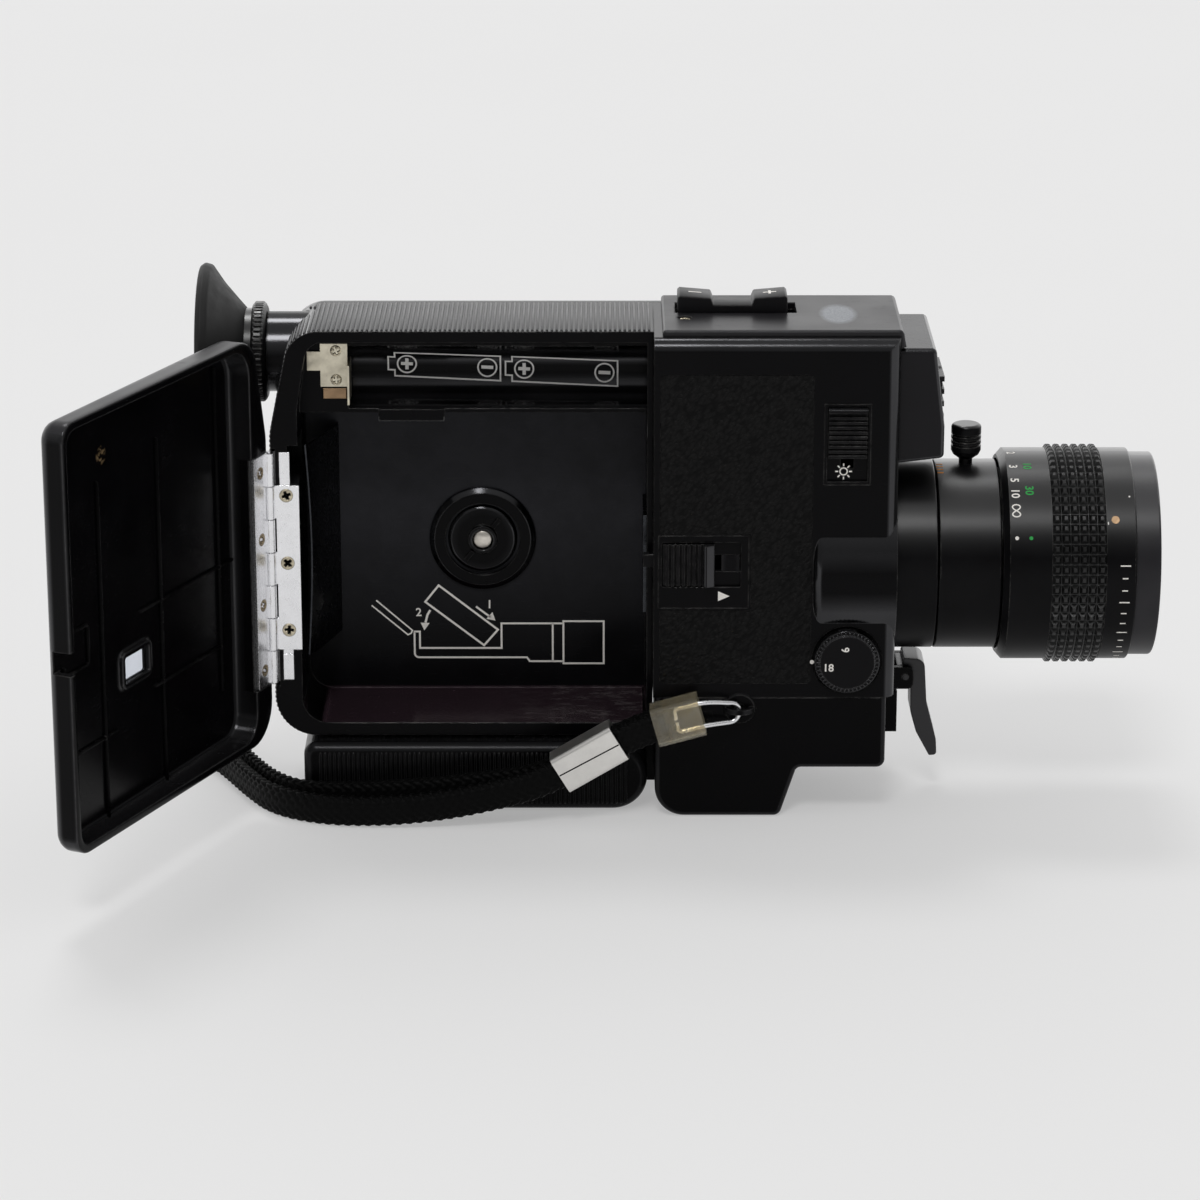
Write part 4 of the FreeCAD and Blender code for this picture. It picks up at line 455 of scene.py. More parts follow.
def metal(name, shade, red=0.0, blue=0.0, rough=0.3, streak=(1, 1, 1), spots=0.2, uneven=1.0):
    # Plate or steel: fine streaks, dull patches and small dark pits
    f = Finish(name, Metallic=1.0)
    lines = f.noise(3.0, 3, 0.6, f.stretched(*streak))
    patches = f.noise(0.35, 4, 0.65)
    pits = f.noise(1.6, 4, 0.7).fade(0.66, 0.74) * spots
    base = patches.fade(0.35, 0.7).mixed(tint(shade, red, blue), tint(shade * (1 - 0.18 * uneven), red, blue))
    f.set("Base_Color", pits.mixed(base, tint(0.05, 0.3, -0.4)))
    dull = patches.fade(0.3, 0.7, rough - 0.06 * uneven, rough + 0.1 * uneven)
    f.set("Roughness", dull + lines * 0.08 + pits * 0.4)
    f.set("Metallic", pits.fade(0, 1, 1.0, 0.3))
    f.relief(lines, 0.004, 0.15)
    return f


def doorBlack(name):
    # The door, glossier inside, with a brown crust of old glue in the tray's upper outer corner
    f = plastic(name, shade=0.0016, rough=0.2, gloss=0.1, turn=door["open"], shine=0.75)
    crust = door["crust"]
    mask = f.spot(opened([crust["centre"]])[0], crust["radius"], crust["soft"])
    mask = mask * f.noise(0.9, 4, 0.7).fade(0.5, 0.6)
    brown = f.noise(2.5, 3).mixed((0.09, 0.05, 0.02, 1), (0.30, 0.22, 0.12, 1))
    f.set("Base_Color", mask.mixed(f.base(), brown))
    return f


patch = {"place": (27.7, -3.2, 118.5), "size": (4.3, 9.0, 5.0), "colour": tint(0.30, -0.08, 0.12)}


def topLacquer(name):
    # Lacquered top plate: satin, with a speckled bluish-grey patch; its rubbed edges and level top carry
    # plastic()'s painted highlight
    f = plastic(name, shade=0.008, rough=0.36, grain=0.003, gloss=0.32, shine=0.4)
    spread = f.place.vector("SUBTRACT", patch["place"]).vector("DIVIDE", patch["size"])
    away = spread.vector("LENGTH", out=1)
    bloom = away.fade(0.75, 1.1, 1.0, 0.0) * f.noise(2.2, 5, 0.85).fade(0.36, 0.66, 0.3, 1.0)
    f.set("Base_Color", (bloom * 0.9).mixed(f.base(), patch["colour"]))
    return f


def anodised(name, shade=0.0022, rough=0.3, gloss=0.08):
    # Turned and anodised black: fine lines round the lens axis, a little dust in the satin, and
    # bare brighter metal where the edges have rubbed; upper sides take a clear coat as a painted highlight
    f = Finish(name, Specular_IOR_Level=gloss, Coat_Roughness=0.3, Coat_IOR=1.6)
    lines = f.noise(9.0, 2, 0.6, f.stretched(1.0, 0.03, 0.03))
    broad = f.noise(0.08, 3)
    dust = f.noise(2.2, 4, 0.75).fade(0.62, 0.8)
    worn = f.edges(0.35) * f.noise(0.5, 4, 0.7).fade(0.4, 0.7) * 0.7
    base = broad.fade(0.3, 0.7).mixed(tint(shade, 0.05, 0.2), tint(shade * 2, 0.05, 0.15))
    base = (dust * 0.12).mixed(base, tint(0.08, 0.05, -0.1))
    f.set("Base_Color", worn.mixed(base, tint(0.3, 0.03, -0.05)))
    f.set("Metallic", worn)
    f.set("Roughness", broad.fade(0.3, 0.7, rough, rough + 0.08) + dust * 0.1)
    # a clear coat on upward faces only: painted highlight on the upper sides
    f.set("Coat_Weight", f.facing().part(2).fade(0.25, 0.75))
    f.relief(lines + dust * 0.4, 0.004, 0.25)
    return f


def rubber(name, shade=0.007, gloss=0.3, rough=0.5):
    # Matt rubber with a dry bloom on its high places
    f = Finish(name, Specular_IOR_Level=gloss)
    bloom = f.noise(0.25, 4, 0.65).fade(0.4, 0.75)
    fine = f.noise(7.0, 3, 0.6)
    f.set("Base_Color", (bloom * 0.5).mixed(tint(shade, 0.0, 0.03), tint(shade * 3, 0.03, 0.0)))
    f.set("Roughness", bloom.fade(0, 1, rough, rough + 0.18))
    f.relief(fine, 0.01, 0.15)
    return f


def leather(name):
    # Pebbled vinyl: smooth cells drawn out along a slant, broken up by finer wrinkles
    f = Finish(name, Specular_IOR_Level=0.11)
    wander = f.noise(0.7, 2)
    turned = f.place.node("VectorRotate", {"rotation_type": "Y_AXIS"}, {"Vector": f.place, "Angle": 0.6})
    long = turned.vector("MULTIPLY", (0.75, 1, 1.35))
    place = long.vector("ADD", wander.node("CombineXYZ", None, {0: wander, 2: wander}))
    cells = {"Vector": place, "Scale": 1.0, "Smoothness": 0.25}
    pebbles = f.root.node("TexVoronoi", {"feature": "SMOOTH_F1"}, cells)
    wrinkles = f.noise(3.2, 4, 0.65)
    height = pebbles.fade(0.1, 0.75, 1.0, 0.0) + wrinkles * 0.35
    f.set("Base_Color", pebbles.fade(0.3, 0.8).mixed(tint(0.0065, 0.04, 0.0), tint(0.002, 0.04, 0.02)))
    f.set("Roughness", pebbles.fade(0.1, 0.8, 0.34, 0.55) + wrinkles * 0.06)
    f.relief(height, 0.34)
    return f


def glass(name):
    # Coated glass with faint smears
    f = Finish(name, Base_Color=(0.86, 0.9, 0.98, 1), Transmission_Weight=1.0, IOR=1.52)
    f.set("Roughness", f.noise(0.6, 3).fade(0.45, 0.8, 0.01, 0.06))
    f.relief(f.noise(0.3, 2), 0.002)
    return f


def vinyl(name):
    # Clear sleeve gone yellow, cloudier in patches
    f = Finish(name, Transmission_Weight=0.9, IOR=1.42)
    cloudy = f.noise(0.5, 3)
    f.set("Base_Color", cloudy.fade(0.35, 0.7).mixed((0.93, 0.88, 0.74, 1), (0.80, 0.70, 0.48, 1)))
    f.set("Roughness", cloudy.fade(0.3, 0.7, 0.06, 0.25))
    f.relief(f.noise(1.2, 3), 0.05, 0.25)
    return f


def speckled(name, noise, steps, first, second, rough, depth, rounding=0.0, **plain):
    # One noise drives all: the colour passes from the first to the second between its two steps,
    # the roughness rises with it, and so does the surface
    f = Finish(name, **plain)
    spread = f.noise(*noise)
    f.set("Base_Color", spread.fade(*steps).mixed(first, second))
    f.set("Roughness", spread.fade(0.3, 0.7, *rough))
    f.relief(spread, depth, rounding)
    return f


def ink(name, colour, worn):
    # printing ink, thinner and darker in small specks
    return speckled(name, (4.0, 4, 0.7), (0.48, 0.72), colour, worn, (0.5, 0.65), 0.01,
                    Specular_IOR_Level=0.3)


door = {"pin": (-105.5, -14.15), "open": 114.0,
        "crust": {"centre": (-39.5, -18.9, 104.0), "radius": 1.7, "soft": 0.9}}


def opened(points):
    # from the closed door's place to the open one: a turn about the hinge pin
    x, y, z = np.asarray(points, float).T
    u, v = x - door["pin"][0], y - door["pin"][1]
    c, s = math.cos(math.radians(door["open"])), math.sin(math.radians(door["open"]))
    return np.stack([door["pin"][0] + u * c + v * s, door["pin"][1] - u * s + v * c, z], -1)


finishRows = {
    "moulded_shell": (plastic, {}),
    "chamber_black": (chamberBlack, {}),
    "door_black": (doorBlack, {}),
    "door_ribs": (plastic, {"shade": 0.0012, "gloss": 0.045, "shine": 0.0}),
    # the door's level top: a paler, glossier copy of its plastic, a painted highlight
    "door_top": (plastic, {"shade": 0.009, "rough": 0.34, "gloss": 0.34, "shine": 0.4, "turn": door["open"]}),
    "top_metal": (topLacquer, {}),
    "control_plastic": (plastic, {"shade": 0.0028, "rough": 0.3, "gloss": 0.1}),
    "spindle_plastic": (plastic, {"shade": 0.0014, "rough": 0.16}),
    "nose_black": (plastic, {"shade": 0.006, "rough": 0.3, "gloss": 0.16}),
    "black_cover": (plastic, {"shade": 0.003}),
    "rocker_black": (plastic, {"shade": 0.004, "rough": 0.34, "gloss": 0.14, "shine": 0.2}),
    "trigger_gloss": (plastic, {"shade": 0.008, "rough": 0.34, "gloss": 0.5}),
    "glove_black": (plastic, {"shade": 0.0012, "gloss": 0.06, "shine": 0.35}),
    # the ribs: paler and glossier than the shell between them, a painted highlight on their tops
    "ribbed_skin": (plastic, {"shade": 0.009, "rough": 0.3, "gloss": 0.26, "rounding": 0.08, "shine": 0.5}),
    "grip_ribs": (plastic, {"shade": 0.0008, "rough": 0.2, "gloss": 0.05, "wear": 0.3, "rounding": 0.08,
                            "shine": 0.25}),
    "lens_black": (anodised, {}),
    "bezel_black": (anodised, {"shade": 0.011, "rough": 0.34, "gloss": 0.22}),
    "ring_rubber": (rubber, {}),
    "slot_dirt": (rubber, {"shade": 0.004, "gloss": 0.1, "rough": 0.7}),
    "stud_rubber": (rubber, {"shade": 0.004, "gloss": 0.45, "rough": 0.28}),
    "grained_panel": (leather, {}),
    "coated_glass": (glass, {}),
    "sleeve_vinyl": (vinyl, {}),
    # nylon braid with fine filaments, and pale moulded nylon
    "strap_weave": (speckled, {"noise": (6.0, 3, 0.6), "steps": (0.35, 0.7), "first": tint(0.0004, 0.0, 0.05),
                               "second": tint(0.0014, 0.0, 0.05), "rough": (0.45, 0.65), "depth": 0.05,
                               "Specular_IOR_Level": 0.1, "Sheen_Weight": 0.02, "Sheen_Roughness": 0.4}),
    "gear_plastic": (speckled, {"noise": (2.0, 3), "steps": (0.3, 0.7), "first": tint(0.74, 0.03, -0.1),
                                "second": tint(0.62, 0.05, -0.16), "rough": (0.35, 0.5), "depth": 0.01,
                                "rounding": 0.1}),
    "pin_steel": (metal, {"shade": 0.8, "red": 0.06, "blue": -0.1, "spots": 0.1}),
    "hinge_chrome": (metal, {"shade": 0.93, "blue": 0.02, "rough": 0.22, "streak": (1, 1, 0.15), "spots": 0.3,
                             "uneven": 0.25}),
    "clamp_metal": (metal, {"shade": 0.84, "red": 0.02, "blue": -0.04, "rough": 0.32, "streak": (1, 1, 0.6),
                            "spots": 0.05, "uneven": 0.3}),
    "screw_brass": (metal, {"shade": 0.62, "red": 0.12, "blue": -0.25, "spots": 0.5}),
    "screw_brown": (metal, {"shade": 0.34, "red": 0.25, "blue": -0.35, "rough": 0.34, "spots": 0.6}),
    "screw_black": (metal, {"shade": 0.10, "rough": 0.4}),
    "contact_plate": (metal, {"shade": 0.66, "red": 0.08, "blue": -0.2, "rough": 0.32, "streak": (1, 1, 0.3),
                              "spots": 0.6}),
    "copper_plate": (metal, {"shade": 0.26, "red": 0.5, "blue": -0.4, "rough": 0.35, "streak": (0.3, 1, 1),
                             "spots": 0.7}),
    "spring_steel": (metal, {"shade": 0.05, "red": -0.05, "blue": 0.1, "rough": 0.22, "streak": (0.2, 1, 1)}),
    "works_steel": (metal, {"shade": 0.5, "blue": 0.03, "streak": (1, 0.2, 1)}),
    "white_ink": (ink, {"colour": (0.93, 0.90, 0.85, 1), "worn": (0.78, 0.75, 0.70, 1)}),
    "grey_ink": (ink, {"colour": (0.88, 0.86, 0.84, 1), "worn": (0.66, 0.65, 0.64, 1)}),
    "green_ink": (ink, {"colour": (0.03, 0.40, 0.08, 1), "worn": (0.02, 0.25, 0.05, 1)}),
    "orange_ink": (ink, {"colour": (0.85, 0.30, 0.02, 1), "worn": (0.55, 0.2, 0.02, 1)}),
}
finishes = {name: make(name, **values).material for name, (make, values) in finishRows.items()}
print("finishes made:", len(finishes))

ownFinish = {"chamber_body": "chamber_black", "door_shell": "door_black", "strap_clamp": "clamp_metal",
             "strap_eyelet": "glove_black", "folding_grip": "glove_black", "bottom_block": "glove_black",
             "trigger_lever": "trigger_gloss", "nose_housing": "nose_black", "front_bezel": "bezel_black"}


def dress():
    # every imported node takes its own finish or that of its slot
    slots = {row["node"]: row["material_slot"] for row in frame["record"]["subparts"]}
    for name, piece in nodes.items():
        finish = finishes[ownFinish.get(name, slots[name])]
        if len(piece.material_slots) == 0:
            piece.data.materials.append(finish)
        for held in piece.material_slots:
            held.material = finish


dress()
makeStrap(strap)
print("strap laid")


# Ribbed skin: low bars round the rear housing, down the grip's faces and round the dial
def ridges(name, starts, ends, normals, s, body, finish, slot):
    # Bars from start to end: the back is a flattened arch across, and its height and width
    # fall off within s["end"] of both ends
    starts, ends, normals = (np.asarray(a, float) for a in (starts, ends, normals))
    long = np.linalg.norm(ends - starts, axis=1)
    way = (ends - starts) / long[:, None]
    side = np.cross(way, normals)
    e = s["end"]
    near = np.array([0, 0.35 * e, e])
    along = np.concatenate([np.tile(near, (len(long), 1)), long[:, None] - near[::-1]], axis=1)
    rise = np.array([0.0, 0.75, 1, 1, 0.75, 0.0])
    girth = np.array([0.5, 0.88, 1, 1, 0.88, 0.5])
    across = np.array([-1, -0.84, -0.5, 0.5, 0.84, 1]) * s["wide"] / 2
    arch = np.array([0, 0.6, 1, 1, 0.6, 0])
    up = arch[None, :] * rise[:, None] * (s["high"] + s["sink"]) - s["sink"]
    points = (starts[:, None, None] + way[:, None, None] * along[:, :, None, None]
              + side[:, None, None] * (girth[:, None] * across)[None, :, :, None]
              + normals[:, None, None] * up[None, :, :, None])
    return addPiece(name, *repeated(points.reshape(len(long), -1, 3), barFaces(6, 6)), body, finish, slot)


def roundedLine(corners, count):
    # straight runs and arcs through (x, z, radius) corners: at each corner the arc's centre lies on
    # the bisector, radius / cos(half the turn) away
    line = [np.array(corners[0][:2], float)]
    for before, here, after in zip(corners, corners[1:], corners[2:]):
        a, b, c = (np.array(spot[:2], float) for spot in (before, here, after))
        wayIn, wayOut = unit(b - a), unit(c - b)
        half = math.acos(float(np.clip(wayIn @ wayOut, -1, 1))) / 2
        centre = b + unit(wayOut - wayIn) * here[2] / math.cos(half)
        first = b - wayIn * here[2] * math.tan(half) - centre
        sweep = 2 * half * (1 if wayIn[0] * wayOut[1] > wayIn[1] * wayOut[0] else -1)
        turn = np.linspace(0, sweep, 16)
        line.extend(np.stack([centre[0] + first[0] * np.cos(turn) - first[1] * np.sin(turn),
                              centre[1] + first[0] * np.sin(turn) + first[1] * np.cos(turn)], -1))
    line.append(np.array(corners[-1][:2], float))
    flat = np.array(line)
    spots, along = evenly(np.stack([flat[:, 0], np.zeros(len(flat)), flat[:, 1]], -1), count)
    return spots[:, [0, 2]], along[-1]


skinRibs = {"pitch": 1.12, "wide": 0.68, "high": 0.36, "sink": 0.1, "end": 0.6, "near": -13.7, "far": 13.0,
            "hinge": (31.0, 88.0), "hingeNear": -11.5, "hingeBack": -104,
            "outline": [(-16.6, 117.0), (-99.9, 117.0, 8.0), (-105.0, 92.0, 16.0), (-105.0, 17.8, 9.5),
                        (-16.6, 17.8)],
            "eye": (7.5, 106.7, 10.1), "eyeBack": -92.0}


def makeSkinRibs(s):
    long = roundedLine(s["outline"], 3000)[1]
    line = roundedLine(s["outline"], int(long / s["pitch"]))[0]
    way = unit(np.gradient(line, axis=0))
    starts, ends, normals = [], [], []
    eyeY, eyeZ, eyeRadius = s["eye"]
    for (x, z), (dx, dz) in zip(line, way):
        beside = x < s["hingeBack"] and s["hinge"][0] < z < s["hinge"][1]
        near = s["hingeNear"] if beside else s["near"]
        spans = [(near, s["far"])]
        if x < s["eyeBack"] and abs(z - eyeZ) < eyeRadius:
            gap = math.sqrt(eyeRadius ** 2 - (z - eyeZ) ** 2)
            spans = [(near, eyeY - gap), (eyeY + gap, s["far"])]
        for low, high in spans:
            if high - low > 2 * s["end"]:
                starts.append((x, low, z))
                ends.append((x, high, z))
                normals.append((dz, 0, -dx))
    ridges("skin_ribs", starts, ends, normals, s, "camera_body", "ribbed_skin", "moulded_shell")


gripRibs = {"pitch": 1.12, "wide": 0.84, "high": 0.3, "sink": 0.1, "end": 1.2, "back": -94.6, "front": -21.0,
            "low": 1.6, "top": 14.9, "half": 18.0}


def makeGripRibs(s):
    x = np.arange(s["back"], s["front"], s["pitch"])
    starts, ends, normals = [], [], []
    for side in (-1, 1):
        level = np.full_like(x, side * s["half"])
        starts.append(np.stack([x, level, np.full_like(x, s["low"])], -1))
        ends.append(np.stack([x, level, np.full_like(x, s["top"])], -1))
        normals.append(np.tile((0.0, side, 0.0), (len(x), 1)))
    ridges("grip_ribs", np.concatenate(starts), np.concatenate(ends), np.concatenate(normals), s,
           "folding_grip", "grip_ribs", "control_plastic")


dial = {"axis": (30.1, 39.4), "face": -24.2, "teeth": 46, "inner": 6.25, "outer": 7.62, "drop": 0.42,
        "wide": 0.5, "high": 0.16, "sink": 0.25, "end": 0.25}


def makeDialTeeth(s):
    angle = np.arange(s["teeth"]) * 2 * math.pi / s["teeth"]
    out = np.stack([np.cos(angle), np.zeros_like(angle), np.sin(angle)], -1)
    centre = np.array([s["axis"][0], s["face"], s["axis"][1]])
    starts = centre + out * s["inner"]
    ends = centre + out * s["outer"] + (0, s["drop"], 0)
    normals = unit(np.cross(unit(ends - starts), np.cross((0, -1, 0), out)))
    normals *= np.where(normals[:, 1:2] < 0, 1, -1)
    ridges("dial_teeth", starts, ends, normals, s, "speed_dial", "control_plastic",
           "control_plastic")


# Lens: the focus grip's rows of four-sided studs
studs = {"start": 77.6, "end": 90.2, "columns": 6, "rows": 66, "seat": 24.6, "base": 25.1, "peak": 26.0,
         "axis": 59.0, "foot": 0.93, "top": 0.36}


def ringPoints(x, radius, angle, axisY, axisZ):
    # a point at that place along the axis, that far from it, at that angle up from the near side
    y, z = axisY - radius * np.cos(angle), axisZ + radius * np.sin(angle)
    return np.stack(np.broadcast_arrays(x, y, z), -1)


def makeStuds(s):
    # a sleeve, and on it rows of four-sided studs: each is its cell drawn in to the foot's share of
    # its size at the base and to the top's share at the peak
    columns, rows = s["columns"], s["rows"]
    pitch, step = (s["end"] - s["start"]) / columns, 2 * math.pi / rows
    angle = np.arange(rows * 2) * step / 2
    along = np.array([s["start"], s["start"], s["end"], s["end"]])
    radius = np.array([s["seat"], s["base"], s["base"], s["seat"]])
    sleeve = ringPoints(along[:, None], radius[:, None], angle[None, :], 0.0, s["axis"])
    faces = gridFaces(4, rows * 2, True, True).tolist()
    x = s["start"] + pitch * (np.arange(columns) + 0.5)
    turn = (np.arange(rows) + 0.5) * step
    square = np.array([(-1, -1), (1, -1), (1, 1), (-1, 1)]) / 2
    corners = []
    for share, reach in ((s["foot"], s["base"] - 0.05), (s["top"], s["peak"])):
        dx, da = square[:, 0] * pitch * share, square[:, 1] * step * share
        corners.append(ringPoints(x[None, :, None] + dx, np.full((rows, 1, 1), reach),
                                  turn[:, None, None] + da, 0.0, s["axis"]))
    cells = np.concatenate(corners, axis=2).reshape(rows * columns, 8, 3)
    spots, more = repeated(cells, [[0, 1, 5, 4], [1, 2, 6, 5], [2, 3, 7, 6], [3, 0, 4, 7], [4, 5, 6, 7],
                                   [3, 2, 1, 0]])
    faces += [[n + sleeve.shape[0] * sleeve.shape[1] for n in face] for face in more]
    piece = addPiece("focus_studs", np.concatenate([sleeve.reshape(-1, 3), spots]), faces, "focus_ring",
                     "stud_rubber", "ring_rubber", smooth=False)
    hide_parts("focus_grip")


# Eyepiece: the fluted dioptre ring
fluted = {"axis": (7.5, 106.7), "flutes": 58, "depth": 0.4, "around": 464,
          "profile": [(-115.1, 8.3, 0), (-106.7, 8.3, 0), (-106.7, 10.7, 0), (-107.05, 11.4, 0),
                      (-107.5, 11.84, 0.3), (-107.8, 11.9, 1), (-108.9, 11.9, 1), (-109.3, 11.9, 0.4),
                      (-109.65, 11.7, 0), (-110.1, 11.1, 0), (-110.1, 10.3, 0), (-111.7, 10.3, 0),
                      (-111.7, 9.3, 0), (-115.1, 9.3, 0)]}


def makeDioptre(s):
    # A profile of (place, radius, share) turned round the eye's axis; the radius dips by the depth
    # times the share times a narrow groove, cos of the flute's angle raised to a power
    along, radius, mask = np.array(s["profile"]).T
    angle = np.arange(s["around"]) * 2 * math.pi / s["around"]
    groove = np.clip(np.cos(angle * s["flutes"]), 0, 1) ** 0.7
    reach = radius[:, None] - mask[:, None] * s["depth"] * groove[None, :]
    points = ringPoints(along[:, None], reach, angle[None, :], *s["axis"])
    piece = addPiece("dioptre_flutes", points,
                     gridFaces(len(along), s["around"], wrapRows=True, wrapColumns=True), "eye_focus",
                     "lens_black", "control_plastic", smooth=False)
    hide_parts("dioptre_ring")


# Screws with crossed slots
screwShape = {"radius": 1.55, "crown": 0.3, "arm": 0.16, "reach": 0.6, "deep": 0.45, "under": 0.4, "grid": 21}
screwRows = [
    # name, node, body, finish, slot, which way the heads face, places, turns, what differs
    ("leaf_screw_heads", "hinge_screws", "camera_body", "screw_brass", "screw_brass", (0, -1, 0),
     [(-101.6, -14.15, z) for z in (44.2, 60.8, 77.4)], (0.3, 1.1, 0.75), {"crown": 0.11, "under": 0.35}),
    ("door_screw_heads", "door_screws", "film_door", "screw_brown", "screw_brass", (0, 1, 0),
     [(-101.6, -14.3, z) for z in (35.3, 51.5, 67.7, 83.9)], (0.2, 0.9, 0.5, 1.3),
     {"radius": 1.45, "crown": 0.11, "deep": 0.4, "under": 0.3}),
    ("contact_screw_heads", "contact_screws", "camera_body", "screw_brass", "screw_brass", (0, -1, 0),
     [(-89.8, -6.75, 103.5), (-89.8, -6.75, 110.5)], (0.45, 0.8),
     {"radius": 1.3, "arm": 0.18, "reach": 0.62, "deep": 0.5, "under": 0.35}),
    ("cover_screw_heads", "case_screws", "camera_body", "screw_black", "screw_black", (0, 1, 0),
     [(-94.5, 20.45, 28.5), (-30.0, 20.45, 28.5), (-96.6, 20.45, 90.0), (34.0, 20.45, 36.0),
      (34.0, 20.45, 108.5)], (0.2, 0.6, 1.0, 1.4, 0.4), {}),
    ("plate_screw_head", "case_screws", "camera_body", "screw_brass", "screw_black", (0, 0, 1),
     [(-8.2, -6.6, 118.0)], (0.7,), {}),
]


def makeScrews(name, node, body, finish, slot, facing, places, turns, changes):
    # A square grid drawn onto a disc; the head is crown times (1 - r squared), less a cross whose
    # arms have soft walls. A flat grid under it closes the head. The door's heads are placed on the
    # open door
    s = {**screwShape, **changes}
    places, normal, n = np.array(places), np.array(facing, float), s["grid"]
    if body == "film_door":
        places, normal = opened(places), opened([normal])[0] - opened([(0, 0, 0)])[0]
    u, v = np.meshgrid(np.linspace(-1, 1, n), np.linspace(-1, 1, n), indexing="ij")
    x, y = u * np.sqrt(1 - v ** 2 / 2), v * np.sqrt(1 - u ** 2 / 2)
    rise = s["crown"] * (1 - x ** 2 - y ** 2)
    first = unit(np.cross(normal, (0.3, 0.5, 0.8)))
    second = np.cross(normal, first)
    grid = gridFaces(n, n)
    rim = list(range(n)) + [r * n + n - 1 for r in range(1, n)]
    rim += [(n - 1) * n + c for c in range(n - 2, -1, -1)] + [r * n for r in range(n - 2, 0, -1)]
    faces = [list(face) for face in grid] + [[q + n * n for q in face[::-1]] for face in grid]
    faces += [[a, b, b + n * n, a + n * n] for a, b in zip(rim, rim[1:] + rim[:1])]
    points, slots = [], []
    for place, turn in zip(places, turns):
        p = x * math.cos(turn) + y * math.sin(turn)
        q = y * math.cos(turn) - x * math.sin(turn)
        arms = [np.clip((s["arm"] - np.abs(a)) / 0.1 + 1, 0, 1)
                * np.clip((s["reach"] - np.abs(b)) / 0.15 + 1, 0, 1) for a, b in ((p, q), (q, p))]
        cross = np.maximum(*arms)
        slots.append(cross.reshape(-1)[grid].mean(1) > 0.45)
        high = rise - s["deep"] * cross
        flat = first * (x * s["radius"])[..., None] + second * (y * s["radius"])[..., None]
        points.append(np.concatenate([(flat + normal * high[..., None]).reshape(-1, 3),
                                      (flat - normal * s["under"]).reshape(-1, 3)]) + place)
    heads = addPiece(name, *repeated(np.array(points), faces), body, finish, slot)
    # the cross itself takes a dark finish
    dark = np.zeros((len(faces), len(places)))
    dark[:len(grid)] = np.array(slots).T
    secondFinish(heads, "slot_dirt", dark)
    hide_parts(node)


# Printed marks: thin raised strokes and numbers
class Print:
    # strokes and figures in (along, up) millimetres; lay turns (along, up, out) into a place
    def __init__(self, lay, thick=0.035):
        self.lay, self.thick = lay, thick
        self.points, self.faces, self.count = [], [], 0

    def add(self, points, faces):
        self.points.append(np.asarray(points, float))
        self.faces += [[n + self.count for n in face] for face in faces]
        self.count += len(points)

    def stroke(self, line, width, closed=False):
        # half the width to each side of the line, mitred at its corners
        line = np.asarray(line, float)
        ahead, behind = np.roll(line, -1, 0) - line, line - np.roll(line, 1, 0)
        if not closed:
            ahead[-1], behind[0] = behind[-1], ahead[0]
        sides = [np.stack([-way[:, 1], way[:, 0]], -1) for way in (unit(ahead), unit(behind))]
        mitre = unit(sides[0] + sides[1])
        offset = mitre * (width / 2) / np.clip((mitre * sides[0]).sum(1, keepdims=True), 0.35, 1)
        ring = [(line + offset, 0), (line + offset, self.thick), (line - offset, self.thick),
                (line - offset, 0)]
        points = np.stack([np.column_stack([flat, np.full(len(line), level)]) for flat, level in ring], 1)
        count = len(line)
        faces = gridFaces(count, 4, True, True).tolist() if closed else barFaces(count, 4)
        self.add(points.reshape(-1, 3), faces)

    def patch(self, outline):
        count = len(outline)
        flat = np.asarray(outline, float)
        points = [np.column_stack([flat, np.full(count, level)]) for level in (0, self.thick)]
        faces = [list(range(count)), list(range(count, 2 * count))]
        faces += [[n, (n + 1) % count, (n + 1) % count + count, n + count] for n in range(count)]
        self.add(np.concatenate(points), faces)

    def circle(self, centre, radius, width=None):
        turn = np.linspace(0, 2 * math.pi, 40, endpoint=False)
        line = np.stack([centre[0] + radius * np.cos(turn), centre[1] + radius * np.sin(turn)], -1)
        if width is None:
            self.patch(line)
        else:
            self.stroke(line, width, closed=True)

    def figure(self, text, centre, high, turn=0.0):
        points, faces = figureMesh(text)
        c, s = math.cos(turn), math.sin(turn)
        x, y = points[:, 0] * high, points[:, 1] * high
        flat = [centre[0] + x * c - y * s, centre[1] + x * s + y * c, points[:, 2] * self.thick]
        self.add(np.stack(flat, -1), faces)

    def piece(self, name, body, finish, slot):
        points = np.concatenate(self.points)
        return addPiece(name, self.lay(*points.T), self.faces, body, finish, slot, smooth=False)


def figureMesh(text):
    # the built-in font's outline, filled and given a thickness, one unit high about its middle
    curve = bpy.data.curves.new("figure", "FONT")
    curve.body = text
    curve.extrude = 0.05
    curve.offset = 0.018
    curve.resolution_u = 3
    points, faces = meshed("figure", curve)
    low, high = points.min(0), points.max(0)
    points = (points - (low + high) / 2) / (high[1] - low[1])
    points[:, 2] = np.where(points[:, 2] > 0, 1.0, 0.0)
    return points, faces


def onNear(level):
    # a plane facing the near side
    return lambda along, up, out: np.stack([along, level - out, up], -1)


def onBarrel(radius, axis=59.0):
    # round the lens: along runs down the near side, so minus the arc above it; up is towards the front
    def lay(along, up, out):
        return ringPoints(up, radius + out, -along / radius, 0.0, axis)
    return lay


